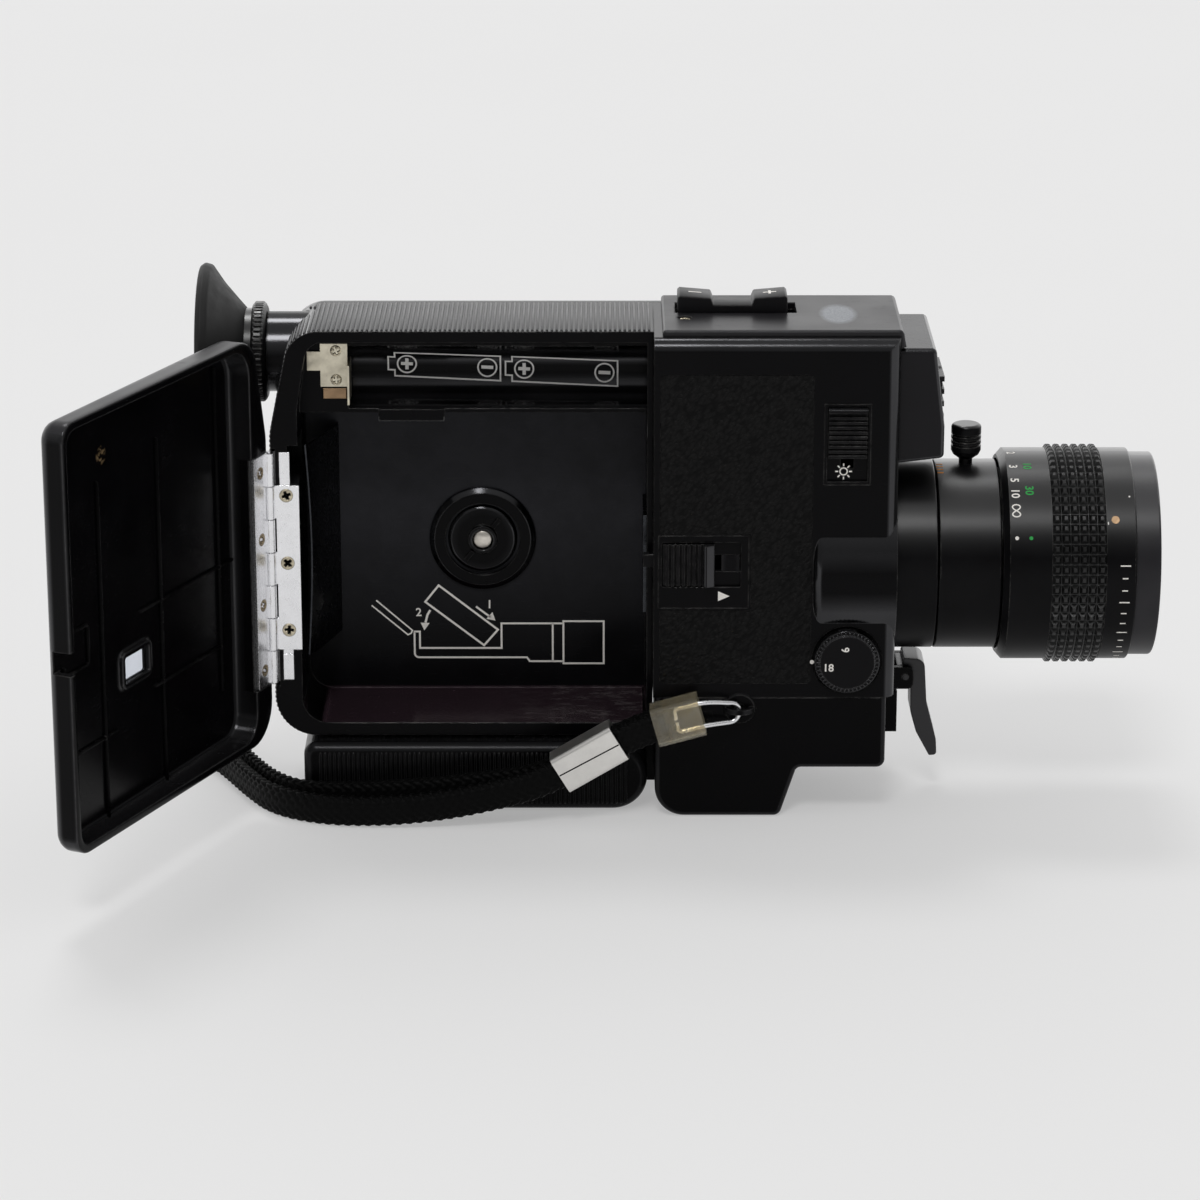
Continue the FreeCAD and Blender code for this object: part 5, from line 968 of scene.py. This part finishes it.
bayMarks = {
    "floor": 11.51, "line": 0.46, "bend": (-73.1, 29.8, 1.1), "bent": 2,
    # each line: its share of the common width, or 0 for a filled shape; whether it closes; its points
    "lines": [
        (0.8, False, [(-82.3, 43.3), (-73.6, 35.6), (-73.9, 34.9), (-74.7, 34.5), (-83.4, 42.0)]),
        (1, False, [(-73.3, 35.3), (-71.8, 35.3), (-71.8, 31.1), (-51.95, 31.1), (-51.95, 37.4),
                    (-37.0, 37.4)]),
        (1, False, [(-73.1, 35.3), (-45.8, 28.7), (-45.1, 27.7), (-37.0, 27.7)]),
        (1, False, [(-39.5, 37.4), (-39.5, 27.8)]),
        (1, True, [(-36.9, 37.95), (-27.1, 37.95), (-27.1, 27.15), (-36.9, 27.15)]),
        (1.1, True, [(-67.1, 47.1), (-52.8, 35.8), (-56.2, 31.8), (-70.4, 42.9)]),
        (1.1, False, [(-58.1, 41.7), (-54.6, 39.0)]),
        (0, True, [(-53.4, 38.1), (-55.6, 38.6), (-54.1, 40.3)]),
        (1.2, False, [(-69.2, 40.8), (-69.9, 39.6), (-70.4, 37.6)]),
        (0, True, [(-70.7, 35.6), (-71.6, 37.6), (-69.4, 37.5)]),
    ],
    "figures": [("1", (-54.8, 42.3)), ("2", (-72.0, 40.3))], "figureHigh": 2.1,
    "cells": [(-76.4, 1.42), (-48.75, 0.12)], "tilt": -0.048, "long": 24.9, "half": 3.1, "cellLine": 0.38,
    "bar": (-1.4, 0, 1.4), "halves": ((-1.45, -0.42), (0.42, 1.45)),
    "tip": [(0, -1.7), (-1.55, -1.7), (-1.55, 0), (-1.55, 1.7), (0, 1.7)],
    "signs": (2.85, 21.8), "signRadius": 2.2, "signLine": 0.8, "trough": (-6.0, 104.0), "radius": 7.59,
}


def makeBayMarks(s):
    # Loading picture: the open door, the body with its lens seen from above, and a tilted cartridge
    floor = Print(onNear(s["floor"]))
    x, z, r = s["bend"]
    bend = [(x + r * (1 - math.cos(a)), z - r * math.sin(a)) for a in np.linspace(0, math.pi / 2, 8)]
    for n, (share, closed, line) in enumerate(s["lines"]):
        if n == s["bent"]:
            # the body's rounded corner comes after this line's first point
            line = line[:1] + bend + line[1:]
        if share:
            floor.stroke(line, s["line"] * share, closed)
        else:
            floor.patch(line)
    for text, place in s["figures"]:
        floor.figure(text, place, s["figureHigh"])
    floor.piece("loading_picture", "camera_body", "white_ink", "moulded_shell")

    # Two cells on the trough's wall: a length up it becomes an angle about the trough's axis
    def lay(along, up, out):
        return ringPoints(along, out - s["radius"], -up / (s["radius"] + 0.01), *s["trough"])

    cells, half, long = Print(lay), s["half"], s["long"]
    outline = [(x, half) for x in np.linspace(0, long, 6)] + [(long, y) for y in (1.5, 0, -1.5)]
    outline += [(x, -half) for x in np.linspace(long, 0, 6)] + s["tip"]
    for left, middle in s["cells"]:
        def at(spots, left=left, middle=middle):
            return [(left + x, middle + y + x * s["tilt"]) for x, y in spots]
        cells.stroke(at(outline), s["cellLine"], closed=True)
        for x in s["signs"]:
            cells.circle(at([(x, 0)])[0], s["signRadius"], s["cellLine"])
            cells.stroke(at([(x + dx, 0) for dx in s["bar"]]), s["signLine"])
        # the plus's upright bar comes in two halves
        for ends in s["halves"]:
            cells.stroke(at([(s["signs"][0], y) for y in ends]), s["signLine"])
    cells.piece("cell_picture", "camera_body", "grey_ink", "moulded_shell")


sideMarks = {"near": -22.01, "recess": -21.01, "sun": (28.6, 85.35), "sunRadius": 0.85, "ray": (1.25, 1.95),
             "arrow": [(-0.35, 54.0), (2.35, 55.2), (-0.35, 56.4)], "index": (21.9, 38.9),
             "numbers": [("18", (25.9, 38.2), 0.0), ("9", (29.6, 42.6), -1.45)], "high": 1.9}


def makeSideMarks(s):
    marks = Print(onNear(s["recess"]))
    x, z = s["sun"]
    near, far = s["ray"]
    marks.circle((x, z), s["sunRadius"], 0.28)
    for n in range(8):
        c, t = math.cos(n * math.pi / 4), math.sin(n * math.pi / 4)
        marks.stroke([(x + near * c, z + near * t), (x + far * c, z + far * t)], 0.32)
    marks.piece("sun_mark", "camera_body", "white_ink", "moulded_shell")
    plate = Print(onNear(s["near"]))
    plate.patch(s["arrow"])
    plate.circle(s["index"], 0.5)
    plate.piece("pointers", "camera_body", "white_ink", "moulded_shell")
    face = Print(onNear(dial["face"] - 0.01))
    for text, place, turn in s["numbers"]:
        face.figure(text, place, s["high"], turn)
    face.piece("dial_numbers", "speed_dial", "white_ink", "control_plastic")


lensMarks = {"sleeve": 25.21, "ring": 22.51,
             "metres": [("2", 38.2), ("3", 31.2), ("5", 26.3), ("10", 22.1)], "metreRow": 69.25,
             "feet": [("10", 31.2), ("30", 23.1)], "feetRow": 72.55, "high": 2.0,
             "far": 17.7, "loop": (1.55, 2.6), "dots": 11.0, "orange": (52.3, 31.3), "scaleRow": 94.6,
             "scale": {"lines": 12, "first": 4.5, "step": 3.0, "short": 1.3, "long": 2.4},
             "mark": (-21.4, 95.8), "tick": [(-14.9, 90.6), (-14.2, 90.6)], "screw": (-15.4, 92.3)}


def makeLensMarks(s):
    white = Print(onBarrel(s["sleeve"]))
    for text, arc in s["metres"]:
        white.figure(text, (-arc, s["metreRow"]), s["high"])
    # a lemniscate: cos t / (1 + sin squared t) across, and that times sin t up
    turn = np.linspace(0, 2 * math.pi, 32, endpoint=False)
    across = np.cos(turn) / (1 + np.sin(turn) ** 2)
    loop = [-s["far"] + s["loop"][0] * across, s["metreRow"] + s["loop"][1] * across * np.sin(turn)]
    white.stroke(np.stack(loop, -1), 0.32, closed=True)
    white.circle((-s["dots"], s["metreRow"]), 0.45)
    scale = s["scale"]
    for n in range(scale["lines"]):
        arc = scale["first"] - scale["step"] * n
        half = (scale["short"] if n % 3 else scale["long"]) / 2
        white.stroke([(-arc, s["scaleRow"] - half), (-arc, s["scaleRow"] + half)], 0.3)
    white.circle(s["mark"], 0.22)
    white.stroke(s["tick"], 0.25)
    white.piece("focus_numbers", "focus_ring", "white_ink", "lens_black")
    grub = Print(onBarrel(s["sleeve"]), 0.06)
    grub.circle(s["screw"], 0.95)
    grub.piece("set_screw", "focus_ring", "copper_plate", "lens_black")
    green = Print(onBarrel(s["sleeve"]))
    for text, arc in s["feet"]:
        green.figure(text, (-arc, s["feetRow"]), s["high"])
    green.circle((-s["dots"], s["feetRow"]), 0.45)
    green.piece("green_numbers", "focus_ring", "green_ink", "lens_black")
    orange = Print(onBarrel(s["ring"]))
    row, arc = s["orange"]
    for n in range(4):
        place = -arc - 2.4 + 1.5 * n
        orange.stroke([(place, row - 0.7), (place, row + 0.8)], 0.45)
    orange.piece("orange_marks", "zoom_ring", "orange_ink", "lens_black")


# Door: one shell whose section is carried round its outline
doorShell = {"outline": [(-105.0, 17.8, 9.5), (-15.9, 17.8, 5.0), (-15.9, 117.0, 4.5), (-99.9, 117.0, 8.0),
                         (-105.0, 92.0, 16.0)],
             "hollow": [(-97.4, 19.8, 6.0), (-17.9, 19.8, 3.5), (-17.9, 115.0, 3.5), (-97.4, 115.0, 7.0),
                        (-97.4, 92.0, 9.0)],
             "window": [(-56.0, 49.0, 0.6), (-45.2, 49.0, 0.6), (-45.2, 55.1, 0.6), (-56.0, 55.1, 0.6),
                        (-56.0, 52.0, 0.6)],
             "face": -22.0, "floor": -20.0, "rim": -14.3, "frame": -19.0, "round": 3.2,
             "taper": {"deep": 1.2, "from": -95, "long": 79}, "freeSide": -20, "hingeSide": -97,
             "slot": (60.4, 65.6), "seat": (31.1, 88.0), "seatLevel": -15.1, "seatBack": -104.2,
             "weld": 0.004, "topAbove": 110, "high": 0.75, "wide": 0.9, "sink": 0.2, "end": 0.5,
             "bars": [((-36.6, 19.4), (-36.6, 99)), ((-63, 19.4), (-63, 102)), ((-90.3, 32.8), (-90.3, 112)),
                      ((-97, 63.6), (-53.4, 63.6)), ((-90.3, 44.1), (-58.9, 44.1)),
                      ((-41.9, 39.1), (-23.9, 39.1)), ((-30.4, 58.4), (-18.2, 58.4)),
                      ((-30.4, 67.6), (-18.2, 67.6)), ((-30.4, 58.4), (-30.4, 67.6)),
                      ((-19.8, 58.4), (-19.8, 61.0)), ((-19.8, 65.0), (-19.8, 67.6))]}


def ringRound(corners, inset, freeLevels, rearLevels, even):
    # The outline drawn in by inset: an arc of radius less inset on every corner, and on the two
    # upright sides points at given heights too, or as many spread evenly. A corner on a straight
    # side gets spread points
    spots = np.array([corner[:2] for corner in corners], float)
    way = unit(np.roll(spots, -1, 0) - spots)
    line = []
    for n, (spot, corner) in enumerate(zip(spots, corners)):
        before, after = way[n - 1], way[n]
        one, two = np.array([-before[1], before[0]]), np.array([-after[1], after[0]])
        lean = (one + two) / (1 + one @ two)
        turn = math.atan2(before[0] * after[1] - before[1] * after[0], before @ after)
        if abs(turn) < 0.02:
            line.append(spot + one * inset + before * np.linspace(-0.4, 0.4, 9)[:, None])
        else:
            radius = max(corner[2] - inset, 0.25)
            angle = math.atan2(-one[1], -one[0]) + np.linspace(0, turn, 9)
            arc = radius * np.stack([np.cos(angle), np.sin(angle)], -1)
            line.append(spot + lean * (inset + radius) + arc)
        if n in (1, 4):
            levels = freeLevels if n == 1 else rearLevels
            low, high = spots[2 if n == 1 else 0][1], spot[1]
            if even:
                levels = np.linspace(high, low, len(levels) + 2)[1:-1]
            x = spot[0] + (-inset if n == 1 else inset)
            line.append(np.stack([np.full(len(levels), x), levels], -1))
    return np.concatenate(line)


def makeDoor(s):
    # Rows of the section, from the window's hole over the outer face, its rounded edge, the wall,
    # the rim, the hollow and the window's frame back to the hole
    outer, hollow, window, r = s["outline"], s["hollow"], s["window"], s["round"]
    face, floor, rim, ledge = s["face"], s["floor"], s["rim"], s["frame"]
    turn = np.linspace(0, math.pi / 2, 8)
    rows = [(window, 0, face), (outer, r + 0.4, face)]
    rows += [(outer, r * (1 - math.sin(a)), face + r * (1 - math.cos(a))) for a in turn]
    rows += [(outer, 0, face + r + 0.4), (outer, 0, rim - 1.6), (outer, 0, rim - 0.5),
             (outer, 0.12, rim - 0.12), (outer, 0.5, rim), (hollow, -0.4, rim), (hollow, -0.08, rim - 0.1),
             (hollow, 0, rim - 0.4), (hollow, 0, floor + 1.4), (hollow, 0.35, floor + 0.4),
             (hollow, 1.2, floor), (hollow, 1.7, floor),
             (window, -2.6, floor), (window, -1.7, floor), (window, -1.4, floor + 0.15),
             (window, -1.3, ledge - 0.1), (window, -1.1, ledge), (window, -0.1, ledge),
             (window, 0, ledge - 0.15)]
    (low, high), (bottom, top), taper = s["slot"], s["seat"], s["taper"]
    free = np.array([30, 45, low - 0.05, low + 0.05, 63, high - 0.05, high + 0.05, 80, 100])
    rear = np.array([top + 0.05, top - 0.05, 60, bottom + 0.05, bottom - 0.05])
    points = []
    for corners, inset, level in rows:
        ring = ringRound(corners, inset, free, rear, corners is window)
        y = np.full(len(ring), float(level))
        if corners is not window:
            rise = np.clip((level - floor) / (rim - floor), 0, 1)
            y -= rise * taper["deep"] * np.clip((ring[:, 0] - taper["from"]) / taper["long"], 0, 1)
            cut = (ring[:, 0] > s["freeSide"]) & (ring[:, 1] > low) & (ring[:, 1] < high)
            y = np.where(cut, np.minimum(y, floor), y)
            seat = (ring[:, 0] < s["hingeSide"]) & (ring[:, 1] > bottom) & (ring[:, 1] < top)
            if corners is outer and level > rim - 1.8:
                ring[:, 0] = np.where(seat, np.maximum(ring[:, 0], s["seatBack"]), ring[:, 0])
            y = np.where(seat, np.minimum(y, s["seatLevel"]), y)
        points.append(np.stack([ring[:, 0], y, ring[:, 1]], -1))
    grid = np.array(points)
    piece = addPiece("door_casing", opened(grid.reshape(-1, 3)), gridFaces(*grid.shape[:2], True, True),
                     "film_door", "door_black", "moulded_shell")
    turnOutwards(piece.data, s["weld"] * mm)
    sharpen(piece)
    # the level top of the door takes a paler, glossier finish: a painted highlight
    facing, middle = np.zeros((2, len(piece.data.polygons) * 3))
    piece.data.polygons.foreach_get("normal", facing)
    piece.data.polygons.foreach_get("center", middle)
    secondFinish(piece, "door_top", (facing[2::3] > 0.6) & (middle[2::3] > s["topAbove"] * mm))
    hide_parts("door_shell")
    starts, ends = (opened([(x, floor, z) for x, z in spots]) for spots in zip(*s["bars"]))
    out = opened([(0, 1, 0)])[0] - opened([(0, 0, 0)])[0]
    ridges("door_ribs", starts, ends, np.tile(out, (len(starts), 1)), s, "film_door", "door_ribs",
           "moulded_shell")


# Small shaped pieces: an outline drawn in by steps along its thickness
def prismPiece(name, outline, steps, lay, body, finish, slot):
    # outline runs anticlockwise; each step is (inset, level), the corners mitred, both ends closed
    line = np.asarray(outline, float)
    ahead, behind = unit(np.roll(line, -1, 0) - line), unit(line - np.roll(line, 1, 0))
    sides = [np.stack([-way[:, 1], way[:, 0]], -1) for way in (ahead, behind)]
    lean = (sides[0] + sides[1]) / (1 + (sides[0] * sides[1]).sum(1, keepdims=True))
    grid = np.array([np.column_stack([line + lean * inset, np.full(len(line), level)])
                     for inset, level in steps])
    piece = addPiece(name, lay(*grid.reshape(-1, 3).T), barFaces(*grid.shape[:2]), body, finish, slot)
    sharpen(piece)
    return piece


def alongY(x, z, y):
    return np.stack([x, y, z], -1)


rocker = {"side": [(-9.3, 114.7), (-9.9, 116.0), (-9.8, 122.0), (-9.3, 122.5), (-2.2, 121.9), (-1.9, 121.6),
                   (-1.4, 120.3)], "middle": 3.05,
          "steps": [(0.45, -1.8), (0.12, -1.68), (0, -1.35), (0, 7.05), (0.12, 7.38), (0.45, 7.5)],
          "pad": {"low": 121.91, "starts": 4.95, "slope": 0.6 / 7.9},
          "marks": [((-7.2, 3.2), (-4.2, 3.2)), ((10.3, 3.2), (13.4, 3.2)), ((11.85, 3.55), (11.85, 4.7)),
                    ((11.85, 1.7), (11.85, 2.85))]}


def makeRocker(s):
    # half the saddle's outline, mirrored about its middle; the marks lie on its two sloping pads
    half, middle, pad = np.array(s["side"]), s["middle"], s["pad"]
    other = np.stack([2 * middle - half[::-1, 0], half[::-1, 1]], -1)
    piece = prismPiece("rocker_saddle", np.concatenate([half, other])[::-1], s["steps"], alongY,
                       "zoom_rocker", "rocker_black", "control_plastic")
    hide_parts("zoom_rocker")

    def lay(along, up, out):
        level = pad["low"] + pad["slope"] * (np.abs(along - middle) - pad["starts"])
        return np.stack([along, up, level + out], -1)

    marks = Print(lay)
    for line in s["marks"]:
        marks.stroke(line, 0.6)
    marks.piece("rocker_marks", "zoom_rocker", "white_ink", "control_plastic")


# Take-up drive: a disc round its raised middle, the steel pin and two dogs
drive = {"axis": (-56.3, 59.2), "around": 96, "level": 10.4, "tall": 0.7,
         "disc": [(2.5, 10.9), (2.5, 9.55), (2.7, 9.4), (3.3, 9.4), (3.5, 9.6), (3.6, 10.4), (7.3, 10.4),
                  (7.9, 10.6), (8.35, 11.2), (8.5, 12.2), (8.5, 13.8), (2.5, 13.8)],
         "pin": [(0.05, 12.0), (0.05, 9.75), (1.9, 9.75), (2.2, 10.0), (2.35, 12.0)],
         "dogs": {"turn": 0.9, "from": 3.8, "to": 6.6, "wide": 1.1}}


def turned(name, profile, axis, around, body, finish, slot):
    # a closed profile of (radius, y) turned about an axis along Y
    radius, level = np.array(profile, float).T
    angle = np.arange(around) * 2 * math.pi / around
    points = np.stack(np.broadcast_arrays(axis[0] + radius[:, None] * np.cos(angle), level[:, None],
                                          axis[1] + radius[:, None] * np.sin(angle)), -1)
    piece = addPiece(name, points, gridFaces(len(profile), around, True, True), body, finish, slot)
    sharpen(piece)
    return piece


def makeDrive(s):
    plate = turned("drive_disc", s["disc"], s["axis"], s["around"], "take_up_spindle", "spindle_plastic",
                   "spindle_plastic")
    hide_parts("take_up_spindle")
    turned("drive_pin", s["pin"], s["axis"], s["around"] // 2, "take_up_spindle", "pin_steel", "works_steel")

    def lay(along, up, out):
        return np.stack([s["axis"][0] + along, s["level"] - out, s["axis"][1] + up], -1)

    dogs, d = Print(lay, s["tall"]), s["dogs"]
    for turn in (d["turn"], d["turn"] + math.pi):
        line = [(reach * math.cos(turn), reach * math.sin(turn)) for reach in (d["from"], d["to"])]
        dogs.stroke(line, d["wide"])
    dogs.piece("drive_dogs", "take_up_spindle", "spindle_plastic", "spindle_plastic")


leaf = {"near": (-97.6, -8.0), "far": (-91.0, 11.2), "low": 36.0, "high": 88.0, "bow": 1.1, "thick": 0.4}


def makeLeaf(s):
    # a strip slanting from the bay's rim to its floor, bowed forward by a half sine up its height
    t = np.linspace(0, 1, 9)
    z = np.linspace(s["low"], s["high"], 25)
    rise = np.sin(math.pi * (z - s["low"]) / (s["high"] - s["low"]))[:, None]
    x = s["near"][0] + (s["far"][0] - s["near"][0]) * t[None, :] ** 0.8 + s["bow"] * rise * (1 - t)
    y = s["near"][1] + (s["far"][1] - s["near"][1]) * t[None, :] + 0 * rise
    x, y = (np.concatenate([a, a[:, ::-1] + shift], 1) for a, shift in ((x, s["thick"]), (y, 0)))
    points = np.stack([x, y, np.broadcast_to(z[:, None], x.shape)], -1)
    piece = addPiece("leaf_spring", points, barFaces(*x.shape), "camera_body", "spring_steel",
                     "spring_steel")
    sharpen(piece)
    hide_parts("cartridge_spring")


fittings = {"cover": [(0.4, 57.6), (4.8, 57.6), (4.8, 68.1), (0.4, 68.1)],
            "coverSteps": [(0.3, -20.95), (0, -20.8), (0, -20.5)],
            "copper": [(-93.0, 98.8), (-87.4, 98.8), (-87.4, 101.4), (-93.0, 101.4)],
            "copperSteps": [(0.15, -6.5), (0, -6.35), (0, -6.0)],
            "clamp": -30.12, "split": [(-37.5, 13.3), (-23.6, 21.1)], "splitWide": 0.32}


def makeFittings(s):
    # the catch's cover plate, the dark line where the strap's clamp is split, and the battery
    # contact's bare copper
    prismPiece("catch_cover", s["cover"], s["coverSteps"], alongY, "camera_body", "black_cover",
               "moulded_shell")
    split = Print(onNear(s["clamp"]))
    split.stroke(s["split"], s["splitWide"])
    split.piece("clamp_split", "camera_body", "slot_dirt", "hinge_chrome")
    prismPiece("copper_tongue", s["copper"], s["copperSteps"], alongY, "camera_body", "copper_plate",
               "contact_plate")


makeDoor(doorShell)
makeRocker(rocker)
makeDrive(drive)
makeLeaf(leaf)
makeFittings(fittings)
print("door, rocker and fittings made")
makeSkinRibs(skinRibs)
makeGripRibs(gripRibs)
makeDialTeeth(dial)
print("ribs done")
makeStuds(studs)
makeDioptre(fluted)
for row in screwRows:
    makeScrews(*row)
print("rings and screws done")
makeBayMarks(bayMarks)
makeSideMarks(sideMarks)
makeLensMarks(lensMarks)
print("marks done")

# Stage: pale floor, soft sky, one lamp high behind and one high in front
studio = {"floor": 0.83, "half": 40.0, "sky": 0.5, "front": 0.2, "back": 1.25, "lift": 0.42,
          "depth": (-0.6, 0.5), "rise": (0.3, 0.9),
          "lamps": {"behind": {"power": 0.62, "spread": 15.0, "from": (-0.1, 0.42, 0.906)},
                    "ahead": {"power": 0.72, "spread": 15.0, "from": (-0.1, -0.59, 0.81)}}}


def straight(tree, *kinds):
    # 1 for rays of these kinds
    paths = tree.nodes.new("ShaderNodeLightPath")
    mask, *others = (Wire(tree, paths.outputs[kind]) for kind in kinds)
    for other in others:
        mask = mask.math("MAXIMUM", other)
    return mask


def makeStage(s):
    half = s["half"]
    mesh = bpy.data.meshes.new("floor")
    mesh.from_pydata([(-half, -half, 0), (half, -half, 0), (half, half, 0), (-half, half, 0)], [],
                     [(0, 1, 2, 3)])
    floor = placed("floor", mesh)
    f = Finish("floor_paper", Roughness=0.9, Specular_IOR_Level=0.1)
    patches = f.noise(0.004, 2)
    paper = patches.mixed(tint(s["floor"] * 1.01), tint(s["floor"] * 0.985, 0.003, 0.0))
    f.set("Base_Color", paper)
    # part of the paper's brightness, as seen straight or in a gloss, is its own: the shadow stays soft
    glow = f.root.node("Emission", None, {"Color": paper, "Strength": 1.0})
    seen = straight(f.tree, "Is Camera Ray", "Is Glossy Ray", "Is Transmission Ray") * s["lift"]
    both = f.root.node("MixShader", None, {0: seen, 1: Wire(f.tree, f.shader.outputs[0]), 2: glow})
    f.tree.links.new(both.socket, f.exit.inputs["Surface"])
    mesh.materials.append(f.material)
    for name, row in s["lamps"].items():
        lamp = bpy.data.lights.new(name, "SUN")
        lamp.energy = row["power"]
        lamp.angle = math.radians(row["spread"])
        holder = placed(name, lamp)
        holder.rotation_mode = "QUATERNION"
        holder.rotation_quaternion = Vector(row["from"]).to_track_quat("Z", "Y")


def makeSky(s):
    # darker in front, where the photographer stands, and bright behind and above
    world = bpy.data.worlds.new("sky")
    bpy.context.scene.world = world
    world.use_nodes = True
    tree = world.node_tree
    tree.nodes.clear()
    root = Wire(tree)
    way = root.node("TexCoord", out=0)
    depth = way.part(1).fade(*s["depth"], s["front"], s["back"])
    high = way.part(2).fade(*s["rise"])
    light = depth * (1 - high) + high * s["sky"]
    back = tree.nodes.new("ShaderNodeBackground")
    tree.links.new(light.socket, back.inputs["Strength"])
    back.inputs["Color"].default_value = (1, 1, 1, 1)
    end = tree.nodes.new("ShaderNodeOutputWorld")
    tree.links.new(back.outputs[0], end.inputs["Surface"])


makeStage(studio)
makeSky(studio)
bpy.context.scene.view_settings.view_transform = "Standard"
print("stage and light set")
